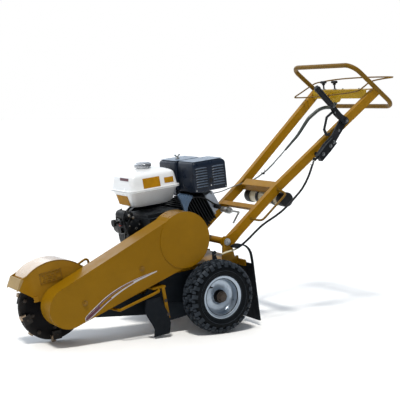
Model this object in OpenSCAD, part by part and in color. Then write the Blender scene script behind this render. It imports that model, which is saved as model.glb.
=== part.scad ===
// Walk-behind stump grinder: cutter wheel on a belt-driven arm, single-cylinder
// engine, two pneumatic wheels and a tilting handle mast. Millimetres, +Z up,
// X rearward to the operator, Y to the machine's right side, ground at Z = 0.
// Everything is drawn in the machine's own frame (origin on the wheel axle) and
// then set nose-down until the cutter teeth rest on the ground.

/* [Stance] */
// tyre outer radius
tyre_r = 156.5; // [140:0.5:180]
// axle position along the machine, measured from the middle of its length
axle_x = -66.04; // [-90:0.1:-40]
// nose-down angle in the parked stance
nose_down = 6.8755; // [0:0.05:15]

/* [Wheels] */
// half track, wheel centre to machine centre
half_track = 233; // [200:1:260]
// tyre section half width
tyre_half = 52; // [40:1:60]
// axle radius
axle_r = 15; // [10:0.5:20]
// running clearance on shafts
run = 0.05; // [0.01:0.01:0.1]

/* [Cutter] */
// cutter shaft position along the machine
cut_u = -675; // [-720:1:-600]
// cutter shaft height above the axle
cut_w = 78; // [40:1:120]
// disc radius
disc_r = 146; // [110:1:150]
// radius to the tooth tips
tooth_r = 151; // [130:1:165]
// cutter shaft radius
shaft_r = 20; // [15:0.5:25]
// disc middle plane
disc_v = -34; // [-70:1:-20]
// driven pulley outer radius
pulley_r = 66; // [50:1:75]

/* [Engine] */
// crankshaft position along the machine
crank_u = -110; // [-150:1:-60]
// crankshaft height above the axle
crank_w = 267; // [240:1:290]
// crankshaft radius
crank_r = 12.7; // [10:0.1:16]
// cylinder inclination from horizontal
cyl_tilt = 25; // [15:1:35]
// clutch drum outer radius
clutch_r = 56; // [45:1:65]

/* [Mast] */
// mast pivot along the machine
piv_u = 111; // [90:1:130]
// mast pivot height above the axle
piv_w = 208; // [190:1:230]
// mast slope at rest, in the machine's frame
mast_a = 34.41; // [25:0.1:45]
// box tube depth
tube_h = 40; // [30:1:50]
// box tube width
tube_b = 25; // [20:1:40]
// tube middle line below the pivot line
tube_n = -19.3; // [-30:0.1:0]
// half spacing of the tubes at the foot
foot_v = 140; // [120:1:160]
// half spacing of the tubes at the top
top_v = 221; // [200:1:233]
// handle loop tube radius
loop_r = 11; // [9:0.5:14]

/* [Hidden] */

gold = [0.50, 0.34, 0.02];
dark = [0.06, 0.06, 0.07];
steel = [0.62, 0.63, 0.64];
alloy = [0.70, 0.72, 0.74];
white = [0.88, 0.87, 0.82];
rubber = [0.07, 0.07, 0.08];

// cable routes, in the ground frame with X measured from the axle
brake_route = [[512,-226,736],[503,-230,712],[480,-232,659],[447,-235,608],[412,-236,572],[374,-236,539],
 [333,-235,506],[287,-230,477],[236,-222,446],[195,-211,408],[160,-199,373],[127,-187,346],[88,-180,335],[52,-180,325]];
control_route = [[847,45,1002],[848,45,986],[838,46,971],[816,47,962],[786,48,961],[750,50,950],[690,54,906],[634,62,829],[568,72,758],[524,80,711],[492,86,678],
 [457,95,648],[404,106,617],[346,118,601],[297,128,585],[240,134,567],[165,132,560],[96,126,566],[46,124,573]];
// routes in the machine's frame
hood_rod = [[-541,-6,203],[-519,-6,214],[-497,-6,225],[-486,-6,225],[-479,-6,215],[-480,-6,196],[-490,-6,157]];
tie_rod = [[-458,-96,27],[-457,-190,31],[-455,-209,33],[-444,-217,38],[-280,-217,73],[-269,-211,76],[-266,-196,77],[-267,-160,78]];
// routes in the mast's frame: along, across, above
guide_path = [[353,-152,-22],[352,-190,-32],[346,-203,-37],[332,-208,-39],[196,-208,-39],[181,-203,-38],[172,-190,-34],[164,-152,-20]];
bail_path = [[1107,-280,-5],[1121,-100,-13],[1119,60,-14],[1105,165,-10],[1076,214,3],[1062,245,7],[1036,262,9],[980,278,15],
 [938,281,22],[940,255,17],[947,175,13],[956,90,12],[966,0,12],[980,-110,12],[988,-165,18],[1010,-190,24],[1045,-202,22],[1080,-240,8]];
// hinge line of the bail
bail_u = piv_u + 960 * cos(mast_a) - 12 * sin(mast_a);
bail_w = piv_w + 960 * sin(mast_a) + 12 * cos(mast_a);

// ---------- frames ----------
module body() { translate([axle_x, 0, tyre_r]) rotate([0, -nose_down, 0]) children(); }
module mastf() { body() translate([piv_u, 0, piv_w]) rotate([0, -mast_a, 0]) children(); }
// cylinder lying along Y from v1 to v2 at (u, w)
module ycyl(u, w, r, v1, v2, f = 64) { translate([u, v2, w]) rotate([90, 0, 0]) cylinder(h = v2 - v1, r = r, $fn = f); }
// ring lying along Y
module yring(u, w, ro, ri, v1, v2, f = 64) {
  difference() { ycyl(u, w, ro, v1, v2, f); ycyl(u, w, ri, v1 - 1, v2 + 1, f); }
}
// flat shape in the u-w plane from v1 to v2
module plate(pts, v1, v2) { translate([0, v2, 0]) rotate([90, 0, 0]) linear_extrude(height = v2 - v1) polygon(pts); }
// turned shape about the Y axis at (u, w); points are [radius, v]
module turned(u, w, pts, f = 96) { translate([u, 0, w]) rotate([-90, 0, 0]) rotate_extrude($fn = f) polygon(pts); }

// straight round bar between two points
module seg(a, b, r) { v = b - a; translate(a) rotate([0, acos(v[2] / norm(v)), atan2(v[1], v[0])]) cylinder(h = norm(v), r = r, $fn = 32); }

// ---------- swept rods and cables ----------
function unit(a) = a / norm(a);
function tang(p, i) = unit((i < len(p) - 1 ? p[i + 1] : p[i]) - (i > 0 ? p[i - 1] : p[i]));
function ctang(p, i) = unit(p[(i + 1) % len(p)] - p[(i + len(p) - 1) % len(p)]);
function ring(c, t, r, n) = let (a = unit(cross(t, abs(t[1]) < 0.9 ? [0, 1, 0] : [1, 0, 0])), b = cross(t, a))
  [for (k = [0:n - 1]) c + r * (cos(360 * k / n) * a + sin(360 * k / n) * b)];
module sweep(p, r, n = 10) {
  m = len(p);
  pts = [for (i = [0:m - 1]) each ring(p[i], tang(p, i), r, n)];
  polyhedron(points = pts, faces = concat(
    [for (i = [0:m - 2]) for (k = [0:n - 1]) [i * n + k, i * n + (k + 1) % n, (i + 1) * n + (k + 1) % n]],
    [for (i = [0:m - 2]) for (k = [0:n - 1]) [i * n + k, (i + 1) * n + (k + 1) % n, (i + 1) * n + k]],
    [[for (k = [0:n - 1]) n - 1 - k]], [[for (k = [0:n - 1]) (m - 1) * n + k]]));
}
module csweep(p, r, n = 10) {
  m = len(p);
  // rings share one reference so that the closed loop does not twist
  pts = [for (i = [0:m - 1]) let (t = ctang(p, i), a = unit(cross(t, [0, 0, 1])), b = cross(t, a))
    each [for (k = [0:n - 1]) p[i] + r * (cos(360 * k / n) * a + sin(360 * k / n) * b)]];
  polyhedron(points = pts, faces = concat(
    [for (i = [0:m - 1]) for (k = [0:n - 1]) [i * n + k, i * n + (k + 1) % n, ((i + 1) % m) * n + (k + 1) % n]],
    [for (i = [0:m - 1]) for (k = [0:n - 1]) [i * n + k, ((i + 1) % m) * n + (k + 1) % n, ((i + 1) % m) * n + k]]));
}

// ---------- chassis ----------
module chassis() {
  color(gold) body() difference() {
    union() {
      // deck
      translate([-245, -150, 126]) cube([320, 300, 8]);
      translate([60, -172, 126]) cube([92, 344, 8]);
      for (s = [-1, 1]) {
        // side plates around the axle
        plate([[-292, 126], [-292, 62], [-200, -20], [-60, -44], [60, -44], [120, 20], [150, 126]], s > 0 ? 142 : -150, s > 0 ? 150 : -142);
        // mast ears
        plate([[80, 130], [144, 130], [131, 208], [125, 222], [111, 228], [97, 222], [91, 208]], s > 0 ? 162 : -172, s > 0 ? 172 : -162);
      }
      // outrigger that carries the leg flap and the tie-down rod
      translate([-292, -206, 82]) cube([60, 60, 8]);
      // pin of the brake arm
      ycyl(52, 100, 6, -179, -149);
      // hanging strap of the leg flap
      plate([[-254, 90], [-240, 90], [-228, -50], [-242, -50]], -210, -205);
      // rear cross bar and its arms
      translate([190, -172, 84]) cube([8, 344, 28]);
      for (s = [-1, 1]) translate([140, s * 120 - 5, 92]) cube([52, 10, 34]);
      // sector plate for the tilt clamp, on the right ear
      intersection() {
        yring(piv_u, piv_w, 214, 182, 162, 168, 128);
        plate([[piv_u, piv_w], [piv_u + 300, piv_w + 300 * tan(19)], [piv_u + 300, piv_w + 400], [piv_u + 300 * cos(57), piv_w + 300 * sin(57)]], 160, 170);
      }
      plate([[118, 200], [piv_u + 190 * cos(52), piv_w + 190 * sin(52)], [piv_u + 188 * cos(41), piv_w + 188 * sin(41)], [134, 190]], 162, 168);
    }
    ycyl(0, 0, axle_r + run, -160, 160);
    ycyl(piv_u, piv_w, 10 + run, -180, 180);
    // arc slot, concentric with the pivot
    intersection() {
      yring(piv_u, piv_w, 198 + 7, 198 - 7, 155, 175, 128);
      plate([[piv_u, piv_w], [piv_u + 300, piv_w + 300 * tan(23)], [piv_u + 300, piv_w + 380], [piv_u + 300 * cos(47), piv_w + 300 * sin(47)]], 154, 176);
    }
    // belt and crank opening in the deck front
    translate([-246, -60, 120]) cube([20, 120, 20]);
    // room for the belt guard
    translate([0, -98.5, 0]) rotate([90, 0, 0]) linear_extrude(height = 112) { guard_shape(0.8); drum_shape(0.8); }
  }
}

// ---------- cutter arm ----------
module cutter_arm() {
  color(gold) body() {
    difference() {
      plate([[-200, 125], [-200, 30], [-515, 48], [-515, 152], [-300, 125.9]], -94, 5);
      plate([[-190, 119], [-190, 36], [-521, 54], [-521, 146], [-300, 119]], -88, -1);
    }
    // rear end closing plate under the deck
    plate([[-206, 119], [-200, 119], [-200, 36], [-206, 36]], -88, -1);
    // cross gusset at the front
    plate([[-512, 60], [-506, 60], [-506, 140], [-512, 140]], -88, -1);
    // strip and eye plate that hold the skirt and the tie-down rod
    plate([[-480, 50], [-210, 36], [-210, 48], [-480, 62]], -100, -93.5);
    plate([[-472, 52], [-444, 52], [-446, 14], [-470, 14]], -100, -94);
  }
}

// ---------- hood over the cutter wheel ----------
module hood() {
  color(gold) body() difference() {
    union() {
      // rolled top sheet
      intersection() {
        yring(cut_u, cut_w, 192, 187, -100, 15, 128);
        plate([[cut_u, cut_w], [cut_u + 400, cut_w + 60], [cut_u + 400, cut_w + 400], [cut_u - 380, cut_w + 400]], -101, 16);
      }
      // front lip
      plate([[-808, 214], [-812, 217], [-819, 219], [-838, 179], [-833, 176]], -100, 15);
      // side plates
      for (v = [-100, 9]) difference() {
        union() {
          intersection() {
            ycyl(cut_u, cut_w, 192, v, v + 6, 128);
            plate([[-900, 150], [-833, 178], [-744, 112], [-722, 30], [-600, 22], [-515, 60], [-400, 60], [-400, 400], [-900, 400]], v - 1, v + 7);
          }
          plate([[-838, 179], [-819, 219], [-780, 235], [-760, 126]], v, v + 6);
          plate([[-560, 46], [-487, 50], [-487, 130], [-500, 200], [-560, 200]], v, v + 6);
        }
        if (v > 0) plate([[-900, 100], [-744, 112], [-640, 130], [-540, 70], [-540, -50], [-900, -50]], v - 1, v + 7);
      }
      // rear closing sheet down to the arm
      plate([[-490, 100], [-484, 100], [-492, 138], [-498, 138]], -100, 15);
      // lifting tab on the lower edge
      translate([-775, -108, 118]) cube([18, 9, 5]);
      translate([-775, -108, 118]) cube([18, 3, 20]);
      translate([-775, -108, 130]) cube([18, 9, 8]);
    }
    ycyl(cut_u, cut_w, 30, -110, -80);
    // passage for the arm behind the wheel
    plate([[-530, 46.1], [-470, 46.1], [-470, 152.2], [-530, 152.2]], -94, 5);
  }
}
module hood_handle() { color(gold) body() sweep(hood_rod, 5, 12); }

// ---------- belt guard ----------
module guard_shape(g) {
  hull() { translate([-112, 264]) circle(r = 112 + g, $fn = 96); translate([-668, 87]) circle(r = 85 + g, $fn = 96); }
}
module drum_shape(g) { translate([-114, 262]) circle(r = 120 + g, $fn = 128); }
module belt_guard() {
  color(gold) body() difference() {
    union() {
      translate([0, -110, 0]) rotate([90, 0, 0]) linear_extrude(height = 90) guard_shape(0);
      translate([0, -110, 0]) rotate([90, 0, 0]) linear_extrude(height = 93) drum_shape(0);
    }
    translate([0, -109, 0]) rotate([90, 0, 0]) linear_extrude(height = 87.5) guard_shape(-3);
    translate([0, -109, 0]) rotate([90, 0, 0]) linear_extrude(height = 90.5) drum_shape(-3);
    // two fixing bolt holes in the face
    for (c = [[-600, 93], [-330, 180]]) ycyl(c[0], c[1], 4.2, -205, -190);
  }
}
module guard_backplate() {
  color(gold) body() difference() {
    union() {
      translate([0, -104, 0]) rotate([90, 0, 0]) linear_extrude(height = 5) guard_shape(-1);
      translate([0, -104, 0]) rotate([90, 0, 0]) linear_extrude(height = 5) drum_shape(-1);
      // posts that take the face bolts
      for (c = [[-600, 93], [-330, 180]]) ycyl(c[0], c[1], 8, -196.2, -108);
      // spacers to the engine and the hood
      for (k = [0:3]) ycyl(crank_u + 52 * cos(90 * k + 45), crank_w + 52 * sin(90 * k + 45), 8, -104.5, -98);
      for (a = [60, 240]) ycyl(cut_u + 52 * cos(a), cut_w + 52 * sin(a), 8, -104.5, -100);
    }
    ycyl(crank_u, crank_w, 30, -112, -96);
    ycyl(cut_u, cut_w, 32, -112, -96);
    for (c = [[-600, 93], [-330, 180]]) ycyl(c[0], c[1], 4, -200, -100);
  }
}
module guard_bolts() {
  color(steel) body() for (c = [[-600, 93], [-330, 180]]) {
    ycyl(c[0], c[1], 3.9, -201, -115, 24);
    ycyl(c[0], c[1], 12, -201.8, -200.1, 32);
    ycyl(c[0], c[1], 7.5, -207.5, -201.7, 6);
  }
}

// ---------- running gear ----------
module axle() {
  color(steel) body() {
    ycyl(0, 0, axle_r, -280, 280);
    for (s = [-1, 1]) {
      yring(0, 0, 22, axle_r - 0.5, s > 0 ? 150.1 : -157.6, s > 0 ? 157.6 : -150.1);
      yring(0, 0, 24, axle_r - 0.5, s > 0 ? 262.6 : -266.6, s > 0 ? 266.6 : -262.6);
      ycyl(0, 0, 20, s > 0 ? 266.5 : -277, s > 0 ? 277 : -266.5, 6);
    }
  }
}
module tyre(v) {
  color(rubber) body() turned(0, 0, [[77, v - 34], [84, v - 37], [92, v - 37.5], [104, v - 47], [118, v - tyre_half], [134, v - 51],
    [147, v - 45], [153, v - 38], [tyre_r, v - 24], [tyre_r, v + 24], [153, v + 38], [147, v + 45], [134, v + 51], [118, v + tyre_half],
    [104, v + 47], [92, v + 37.5], [84, v + 37], [77, v + 34]], 128);
}
module near_tyre() { tyre(-half_track); }
module far_tyre() { tyre(half_track); }
// s = -1 near, +1 far: m mirrors the profile
module rim(s) {
  color(alloy) body() {
    turned(0, 0, [for (q = [[91.5, 41], [91.5, 38.2], [79, 35], [76.8, 32], [76.8, -32], [79, -35], [91.5, -38.2], [91.5, -41], [76, -38], [73.5, -33], [73.5, 10],
      [66, 17], [44, 24], [30, 25], [30, 28], [46, 27], [68, 20], [73.5, 15], [73.5, 33], [76, 38]]) [q[0], s * (half_track + q[1])]], 96);
    // hub barrel
    turned(0, 0, [for (q = [[axle_r + run, 184], [23, 184], [23, 250], [31, 256], [31, 262], [axle_r + run, 262]]) [q[0], s * q[1]]], 96);
  }
}
module near_rim() { difference() { rim(-1); body() ycyl(-38, 40, 7, -262, -240); } }
module far_rim() { difference() { rim(1); body() ycyl(-38, 40, 7, 240, 262); } }
module brake_drum() {
  color(steel) body() turned(0, 0, [[axle_r + run, -158], [52, -158], [52, -177], [49, -177], [49, -162], [24, -162], [24, -183.9], [axle_r + run, -183.9]], 96);
}
module brake_arm() {
  color(dark) body() {
    difference() {
      union() {
        plate([[28, 146], [44, 146], [50, 176], [44, 181], [30, 179]], -174, -169);
        plate([[29, 158], [46, 158], [66, 100], [82, 34], [66, 30], [40, 98]], -174, -169);
        ycyl(52, 100, 12, -174, -169);
      }
      ycyl(52, 100, 6 + run, -180, -165);
      ycyl(40, 163, 3, -180, -165);
    }
    // pad shoe
    intersection() {
      yring(0, 0, 74, 54.8, -173, -161, 96);
      plate([[0, 0], [110, 14], [110, 74]], -175, -160);
    }
  }
}

// ---------- cutter drive ----------
module bearing_housings() {
  color(dark) body() {
    difference() {
      union() { ycyl(cut_u, cut_w, 44, -94, -64); ycyl(cut_u, cut_w, 29.5, -99, -93); }
      ycyl(cut_u, cut_w, shaft_r + run, -110, -50);
    }
    for (k = [0:3]) ycyl(cut_u + 37 * cos(90 * k + 45), cut_w + 37 * sin(90 * k + 45), 5.5, -64.1, -59.5, 6);
  }
}
module cutter_shaft() {
  color(steel) body() {
    ycyl(cut_u, cut_w, shaft_r, -188, -20);
    ycyl(cut_u, cut_w, 24, -21.9, -8, 6);
    ycyl(cut_u, cut_w, 15, -194, -187.5, 6);
  }
}
module driven_pulley() {
  color(dark) body() turned(cut_u, cut_w, [[shaft_r, -182], [34, -182], [34, -175], [58, -175], [pulley_r, -178], [pulley_r, -174],
    [54, -168], [54, -164], [pulley_r, -158], [pulley_r, -154], [54, -148], [54, -144], [pulley_r, -138], [pulley_r, -134], [58, -136], [34, -140], [34, -124], [shaft_r, -124]], 96);
}
module cutter_disc() {
  color(dark) body() {
    difference() {
      union() { ycyl(cut_u, cut_w, disc_r, disc_v - 8, disc_v + 8, 128); ycyl(cut_u, cut_w, 42, disc_v - 18, disc_v + 12); }
      ycyl(cut_u, cut_w, shaft_r, -70, 0);
    }
    // tooth pockets, alternating sides, and the heads of the opposite bolts
    for (k = [0:4]) for (s = [0, 1]) let (a = 197 + 72 * k + 36 * s, v1 = s ? disc_v + 8 : disc_v - 24) {
      translate([cut_u, 0, cut_w]) rotate([0, -a, 0]) {
        translate([108, s ? v1 - 1 : v1, -19]) cube([36, 17, 38]);
        translate([126, s ? disc_v - 7 : disc_v + 7, 0]) rotate([s ? 90 : -90, 0, 0]) cylinder(h = 7, r = 9, $fn = 6);
      }
    }
  }
}
module cutter_teeth() {
  color([0.55, 0.42, 0.25]) body()
    for (k = [0:4]) for (s = [0, 1]) let (a = 197 + 72 * k + 36 * s, v1 = s ? disc_v + 8 : disc_v - 24)
      translate([cut_u, 0, cut_w]) rotate([0, -a, 0]) difference() {
        translate([126, s ? v1 : v1 - 1, -25]) cube([tooth_r - 126, 17, 17]);
        // sloped back behind the cutting tip
        translate([tooth_r, v1 - 2, -9]) rotate([0, 40, 0]) translate([-30, 0, 0]) cube([60, 20, 30]);
        translate([107.6, v1 - 1.3, -19.3]) cube([36.7, 18.6, 38.6]);
      }
}
module clutch_drum() {
  color(dark) body() turned(crank_u, crank_w, [[crank_r, -186], [30, -186], [30, -182], [clutch_r, -182], [clutch_r + 6, -178], [clutch_r, -174],
    [46, -168], [46, -164], [clutch_r, -158], [clutch_r, -154], [46, -148], [46, -144], [clutch_r, -138], [clutch_r, -118], [crank_r, -118]], 96);
}
module crankshaft() {
  color(steel) body() {
    ycyl(crank_u, crank_w, crank_r, -190, 172);
    ycyl(crank_u, crank_w, 92, 150, 166);
    ycyl(crank_u, crank_w, 11, -194, -189.5, 6);
  }
}
// belt loop around both pulleys: rd is its inner radius on the driven pulley, rc on the clutch
module belt_loop(rd, rc, t, v1, v2) {
  translate([0, v2, 0]) rotate([90, 0, 0]) linear_extrude(height = v2 - v1) difference() {
    hull() { translate([cut_u, cut_w]) circle(r = rd + t, $fn = 72); translate([crank_u, crank_w]) circle(r = rc + t, $fn = 72); }
    hull() { translate([cut_u, cut_w]) circle(r = rd, $fn = 72); translate([crank_u, crank_w]) circle(r = rc, $fn = 72); }
  }
}
module belts() {
  color(rubber) body() for (v = [-166, -146]) belt_loop(54.5, 46.5, 7, v - 1.8, v + 1.8);
}

// ---------- engine ----------
module engine_block() {
  color(alloy) body() difference() {
    union() {
      translate([-212, -86, 150]) cube([204, 216, 206]);
      translate([-205, -60, 356]) cube([150, 170, 14]);
      translate([-222, -66, 134]) cube([226, 190, 17]);
      ycyl(crank_u, crank_w, 74, -98, -85);
      // cylinder mounting face
      translate([crank_u, 0, crank_w]) rotate([0, -cyl_tilt, 0]) translate([70, -78, -74]) cube([24, 172, 150]);
      // governor boss and cover ribs
      ycyl(-182, 190, 18, -95, -85); ycyl(-40, 190, 18, -95, -85);
      for (k = [0:5]) translate([crank_u, 0, crank_w]) rotate([0, 60 * k, 0]) translate([60, -96, -3]) cube([30, 11, 6]);
    }
    ycyl(crank_u, crank_w, crank_r + run, -120, 150);
    // flat underside
    translate([-300, -200, 100]) cube([400, 400, 34]);
  }
}
module cylinder_() {
  color(dark) body() difference() {
    translate([crank_u, 0, crank_w]) rotate([0, -cyl_tilt, 0]) {
      translate([94.1, 8, 0]) rotate([0, 90, 0]) cylinder(h = 143.2, r = 52, $fn = 64);
      // the first fin only fits below the corner of the block
      translate([98, -80, -72]) cube([4, 176, 34]);
      for (i = [1:10]) translate([98 + i * 12.5, -80, i > 7 ? -66 : -72]) cube([4, 176, i > 7 ? 132 : 144]);
      translate([94.1, -20, -60]) cube([143.2, 60, 20]);
    }
    // corner of the block and its top cover
    translate([-212, -86.1, 150]) cube([204.1, 216.2, 206.1]);
    translate([-205, -60.1, 350]) cube([150.1, 170.2, 20.1]);
  }
}
module rocker_cover() {
  color(alloy) body() translate([crank_u, 0, crank_w]) rotate([0, -cyl_tilt, 0]) {
    translate([237.4, -62, -56]) cube([8, 138, 100]);
    translate([245, -54, -50]) cube([40, 122, 88]);
    translate([284, -16, -20]) rotate([0, 90, 0]) cylinder(h = 6, r = 7, $fn = 6);
  }
}
module recoil_housing() {
  color(dark) body() difference() {
    union() {
      turned(crank_u, crank_w, [[0, 130.1], [126, 130.1], [128, 134], [128, 176], [120, 186], [78, 188], [72, 216], [66, 222], [0, 222]], 96);
      translate([-60, 131, 330]) cube([86, 40, 62]);
      // pin of the throttle lever
      ycyl(8, 384, 4, 118, 132, 32);
    }
    // room for the flywheel
    ycyl(crank_u, crank_w, 100, 130, 180);
    // air slots
    for (k = [0:11]) translate([crank_u, 0, crank_w]) rotate([0, 30 * k, 0]) translate([80, 170, -5]) cube([32, 30, 10]);
    // rope outlet
    translate([crank_u, 205, crank_w]) rotate([0, -130, 0]) translate([-66, 0, 0]) rotate([0, 90, 0]) cylinder(h = 166, r = 4, $fn = 24);
  }
}
// recoil handle stands on the drum edge at 130 degrees
module recoil_handle() {
  color(dark) body() translate([crank_u, 205, crank_w]) rotate([0, -130, 0]) {
    translate([77.5, 0, 0]) rotate([0, 90, 0]) cylinder(h = 14.5, r = 7, $fn = 32);
    translate([92, 0, -22]) cylinder(h = 44, r = 9, $fn = 32);
    translate([-60, 0, 0]) rotate([0, 90, 0]) cylinder(h = 140, r = 2.5, $fn = 16);
  }
}
// tapered box: bottom rectangle a, top rectangle b, each [u1, v1, u2, v2]
module taper(a, w1, b, w2) {
  polyhedron(points = [[a[0], a[1], w1], [a[2], a[1], w1], [a[2], a[3], w1], [a[0], a[3], w1], [b[0], b[1], w2], [b[2], b[1], w2], [b[2], b[3], w2], [b[0], b[3], w2]],
    faces = [[0, 1, 2, 3], [7, 6, 5, 4], [0, 4, 5, 1], [1, 5, 6, 2], [2, 6, 7, 3], [3, 7, 4, 0]]);
}
module tank_lower() {
  color(white) body() {
    taper([-228, 8, -30, 166], 396, [-244, -10, -11, 178], 464);
    translate([-256, -20, 464]) cube([256, 208, 6]);
    // feet on the block
    for (u = [-190, -112]) translate([u, 30, 370.2]) cube([24, 90, 26]);
  }
}
module tank_upper() {
  color(white) body() difference() {
    union() {
      translate([-256, -20, 470.2]) cube([256, 208, 4]);
      taper([-247, -12, -9, 180], 474, [-238, -4, -16, 172], 532);
      taper([-238, -4, -16, 172], 531.9, [-216, 16, -34, 154], 556);
      ycyl_w(-128, 84, 30, 555, 562);
    }
    translate([-128, 84, 540]) cylinder(h = 40, r = 24, $fn = 48);
  }
}
// upright cylinder
module ycyl_w(u, v, r, w1, w2, f = 64) { translate([u, v, w1]) cylinder(h = w2 - w1, r = r, $fn = f); }
module fuel_cap() {
  color(steel) body() {
    difference() { ycyl_w(-128, 84, 36, 560, 576); ycyl_w(-128, 84, 31, 550, 563); }
    ycyl_w(-128, 84, 23, 548, 565);
    for (k = [0:11]) translate([-128 + 36 * cos(30 * k), 84 + 36 * sin(30 * k), 562]) cylinder(h = 14, r = 3, $fn = 16);
    ycyl_w(-128, 84, 30, 575.5, 580);
  }
}
module muffler() {
  color(steel) body() {
    translate([44, -70, 446]) cube([112, 86, 84]);
    ycyl(102, 478, 10, -84, -69);
    translate([70, -28, 424]) cube([50, 44, 23]);
  }
}
module muffler_guard() {
  color(dark) body() difference() {
    union() { translate([18, -100, 433]) cube([170, 138, 115]); taper([18, -100, 188, 38], 547.9, [34, -82, 172, 22], 566); }
    translate([21, -97, 425]) cube([164, 132, 121]);
    for (c = [30, 116]) for (r = [0:7]) translate([c, -105, 452 + r * 11.5]) cube([58, 12, 4.5]);
    for (r = [0:7]) translate([180, -80, 452 + r * 11.5]) cube([12, 96, 4.5]);
    for (r = [0:3]) translate([40 + 34 * r, -70, 545]) cube([16, 80, 20]);
    ycyl(102, 478, 12, -110, -90);
  }
}
module air_cleaner() {
  color(dark) body() {
    translate([6, 46, 436]) cube([146, 146, 16]);
    taper([8, 48, 150, 190], 452.2, [10, 50, 148, 188], 540.1);
    taper([10, 50, 148, 188], 540, [30, 66, 130, 172], 572);
    ycyl_w(66, 112, 5, 569, 586); ycyl_w(66, 112, 11, 571, 578);
    translate([52, 108, 580]) cube([28, 8, 12]);
  }
}
module carburettor() {
  color(alloy) body() {
    translate([36, 102, 404]) cube([50, 30, 31.8]);
    ycyl_w(60, 118, 18, 376, 405, 48);
    ycyl(60, 418, 17, 96.2, 104, 48);
    ycyl(60, 418, 8, 131, 141.8, 32);
    translate([60, 118, 364]) cylinder(h = 14, r = 5, $fn = 24);
  }
}
module starter_motor() {
  color(dark) body() {
    ycyl(-254, 318, 36, -20, 112);
    ycyl(-254, 318, 28, 111, 128);
    ycyl(-266, 372, 20, 0, 84);
    ycyl(-266, 372, 13, -14, 1);
    translate([-270, 10, 345]) cube([30, 60, 20]);
    translate([-236, -4, 285]) cube([24, 90, 60]);
    // small control knob on a stem
    translate([-318, 44, 345]) rotate([0, 90, 0]) cylinder(h = 60, r = 5, $fn = 24);
    translate([-324, 44, 345]) rotate([0, 90, 0]) cylinder(h = 12, r = 15, $fn = 32);
    translate([-262, 30, 250]) cube([50, 22, 44]);
    translate([-278, 34, 236]) cube([8, 14, 76]);
  }
}
module dipsticks() {
  color(dark) body() for (u = [-1, 1]) {
    translate([u > 0 ? -8 : -228, -52, 186]) rotate([0, 90, 0]) cylinder(h = 16, r = 15, $fn = 32);
    translate([u > 0 ? 7 : -246, -56, 183]) cube([19, 8, 6]);
  }
}
module spark_plug() {
  color(dark) body() translate([crank_u, 0, crank_w]) rotate([0, -cyl_tilt, 0]) {
    translate([262, -54.1, -28]) rotate([90, 0, 0]) cylinder(h = 16, r = 9, $fn = 6);
    translate([262, -69, -28]) rotate([90, 0, 0]) cylinder(h = 20, r = 11, $fn = 32);
  }
}
module throttle_lever() {
  color(steel) body() difference() {
    union() {
      plate([[2, 378], [14, 378], [34, 424], [26, 430], [18, 424]], 122, 125);
      ycyl(8, 384, 12, 122, 125);
    }
    ycyl(8, 384, 4 + run, 110, 150, 32);
    ycyl(26, 421, 2.2, 110, 150, 24);
  }
}

// ---------- rods, flaps, skirts ----------
module tie_down_rod() { color(gold) body() sweep(tie_rod, 6, 12); }
module leg_flap() {
  color(rubber) body() {
    plate([[-335, 50], [-346, -2], [-309, -84], [-316, -113], [-243, -113], [-232, -68], [-236, -52], [-268, 50]], -221, -213);
    for (w = [-30, 30]) ycyl(-239 - 0.09 * w, w, 6, -225, -210.1, 6);
    plate([[-262, 50], [-246, 50], [-236, -50], [-250, -50]], -213.2, -210.1);
  }
}
module side_skirt() {
  color(rubber) body() {
    difference() {
      plate([[-560, 54], [-556, 12], [-515, -3], [-254, -49], [-180, -63], [-180, 32], [-210, 46], [-480, 59], [-500, 58]], -104, -100.1);
      ycyl(-458, 27, 8, -110, -95);
    }
    plate([[-292, 80], [-200, 0], [-60, -26], [60, -26], [60, -62], [-60, -72], [-206, -78], [-300, -30], [-312, 52]], -155, -150.1);
  }
}
module rear_flaps() {
  color(rubber) body() {
    for (s = [-1, 1]) {
      // rolled upper part draped over from the ear, cut away beside the brake cable
      difference() {
        plate([[120, 190], [146, 197], [172, 190], [194, 168], [204, 138], [207, 100.3], [199, 100.3], [196.2, 136], [186, 163], [168, 182], [146, 188.5], [122, 182]],
          s > 0 ? 176 : -222, s > 0 ? 222 : -176);
        if (s < 0) translate([150, -207, 150]) cube([50, 40, 60]);
      }
      // bolt through to the ear
      ycyl(136, 190, 6, s > 0 ? 172.2 : -186, s > 0 ? 186 : -172.2, 24);
      plate([[199.5, 100], [207.5, 100], [211, 0], [217, -162], [209, -163], [203, 0], [198.2, 84], [198.2, 96]], s > 0 ? 76 : -222, s > 0 ? 222 : -76);
    }
    plate([[198.2, 108], [206.2, 108], [209, 0], [214, -150], [206, -151], [201, 0], [198.2, 60]], -73, 73);
  }
}

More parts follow.
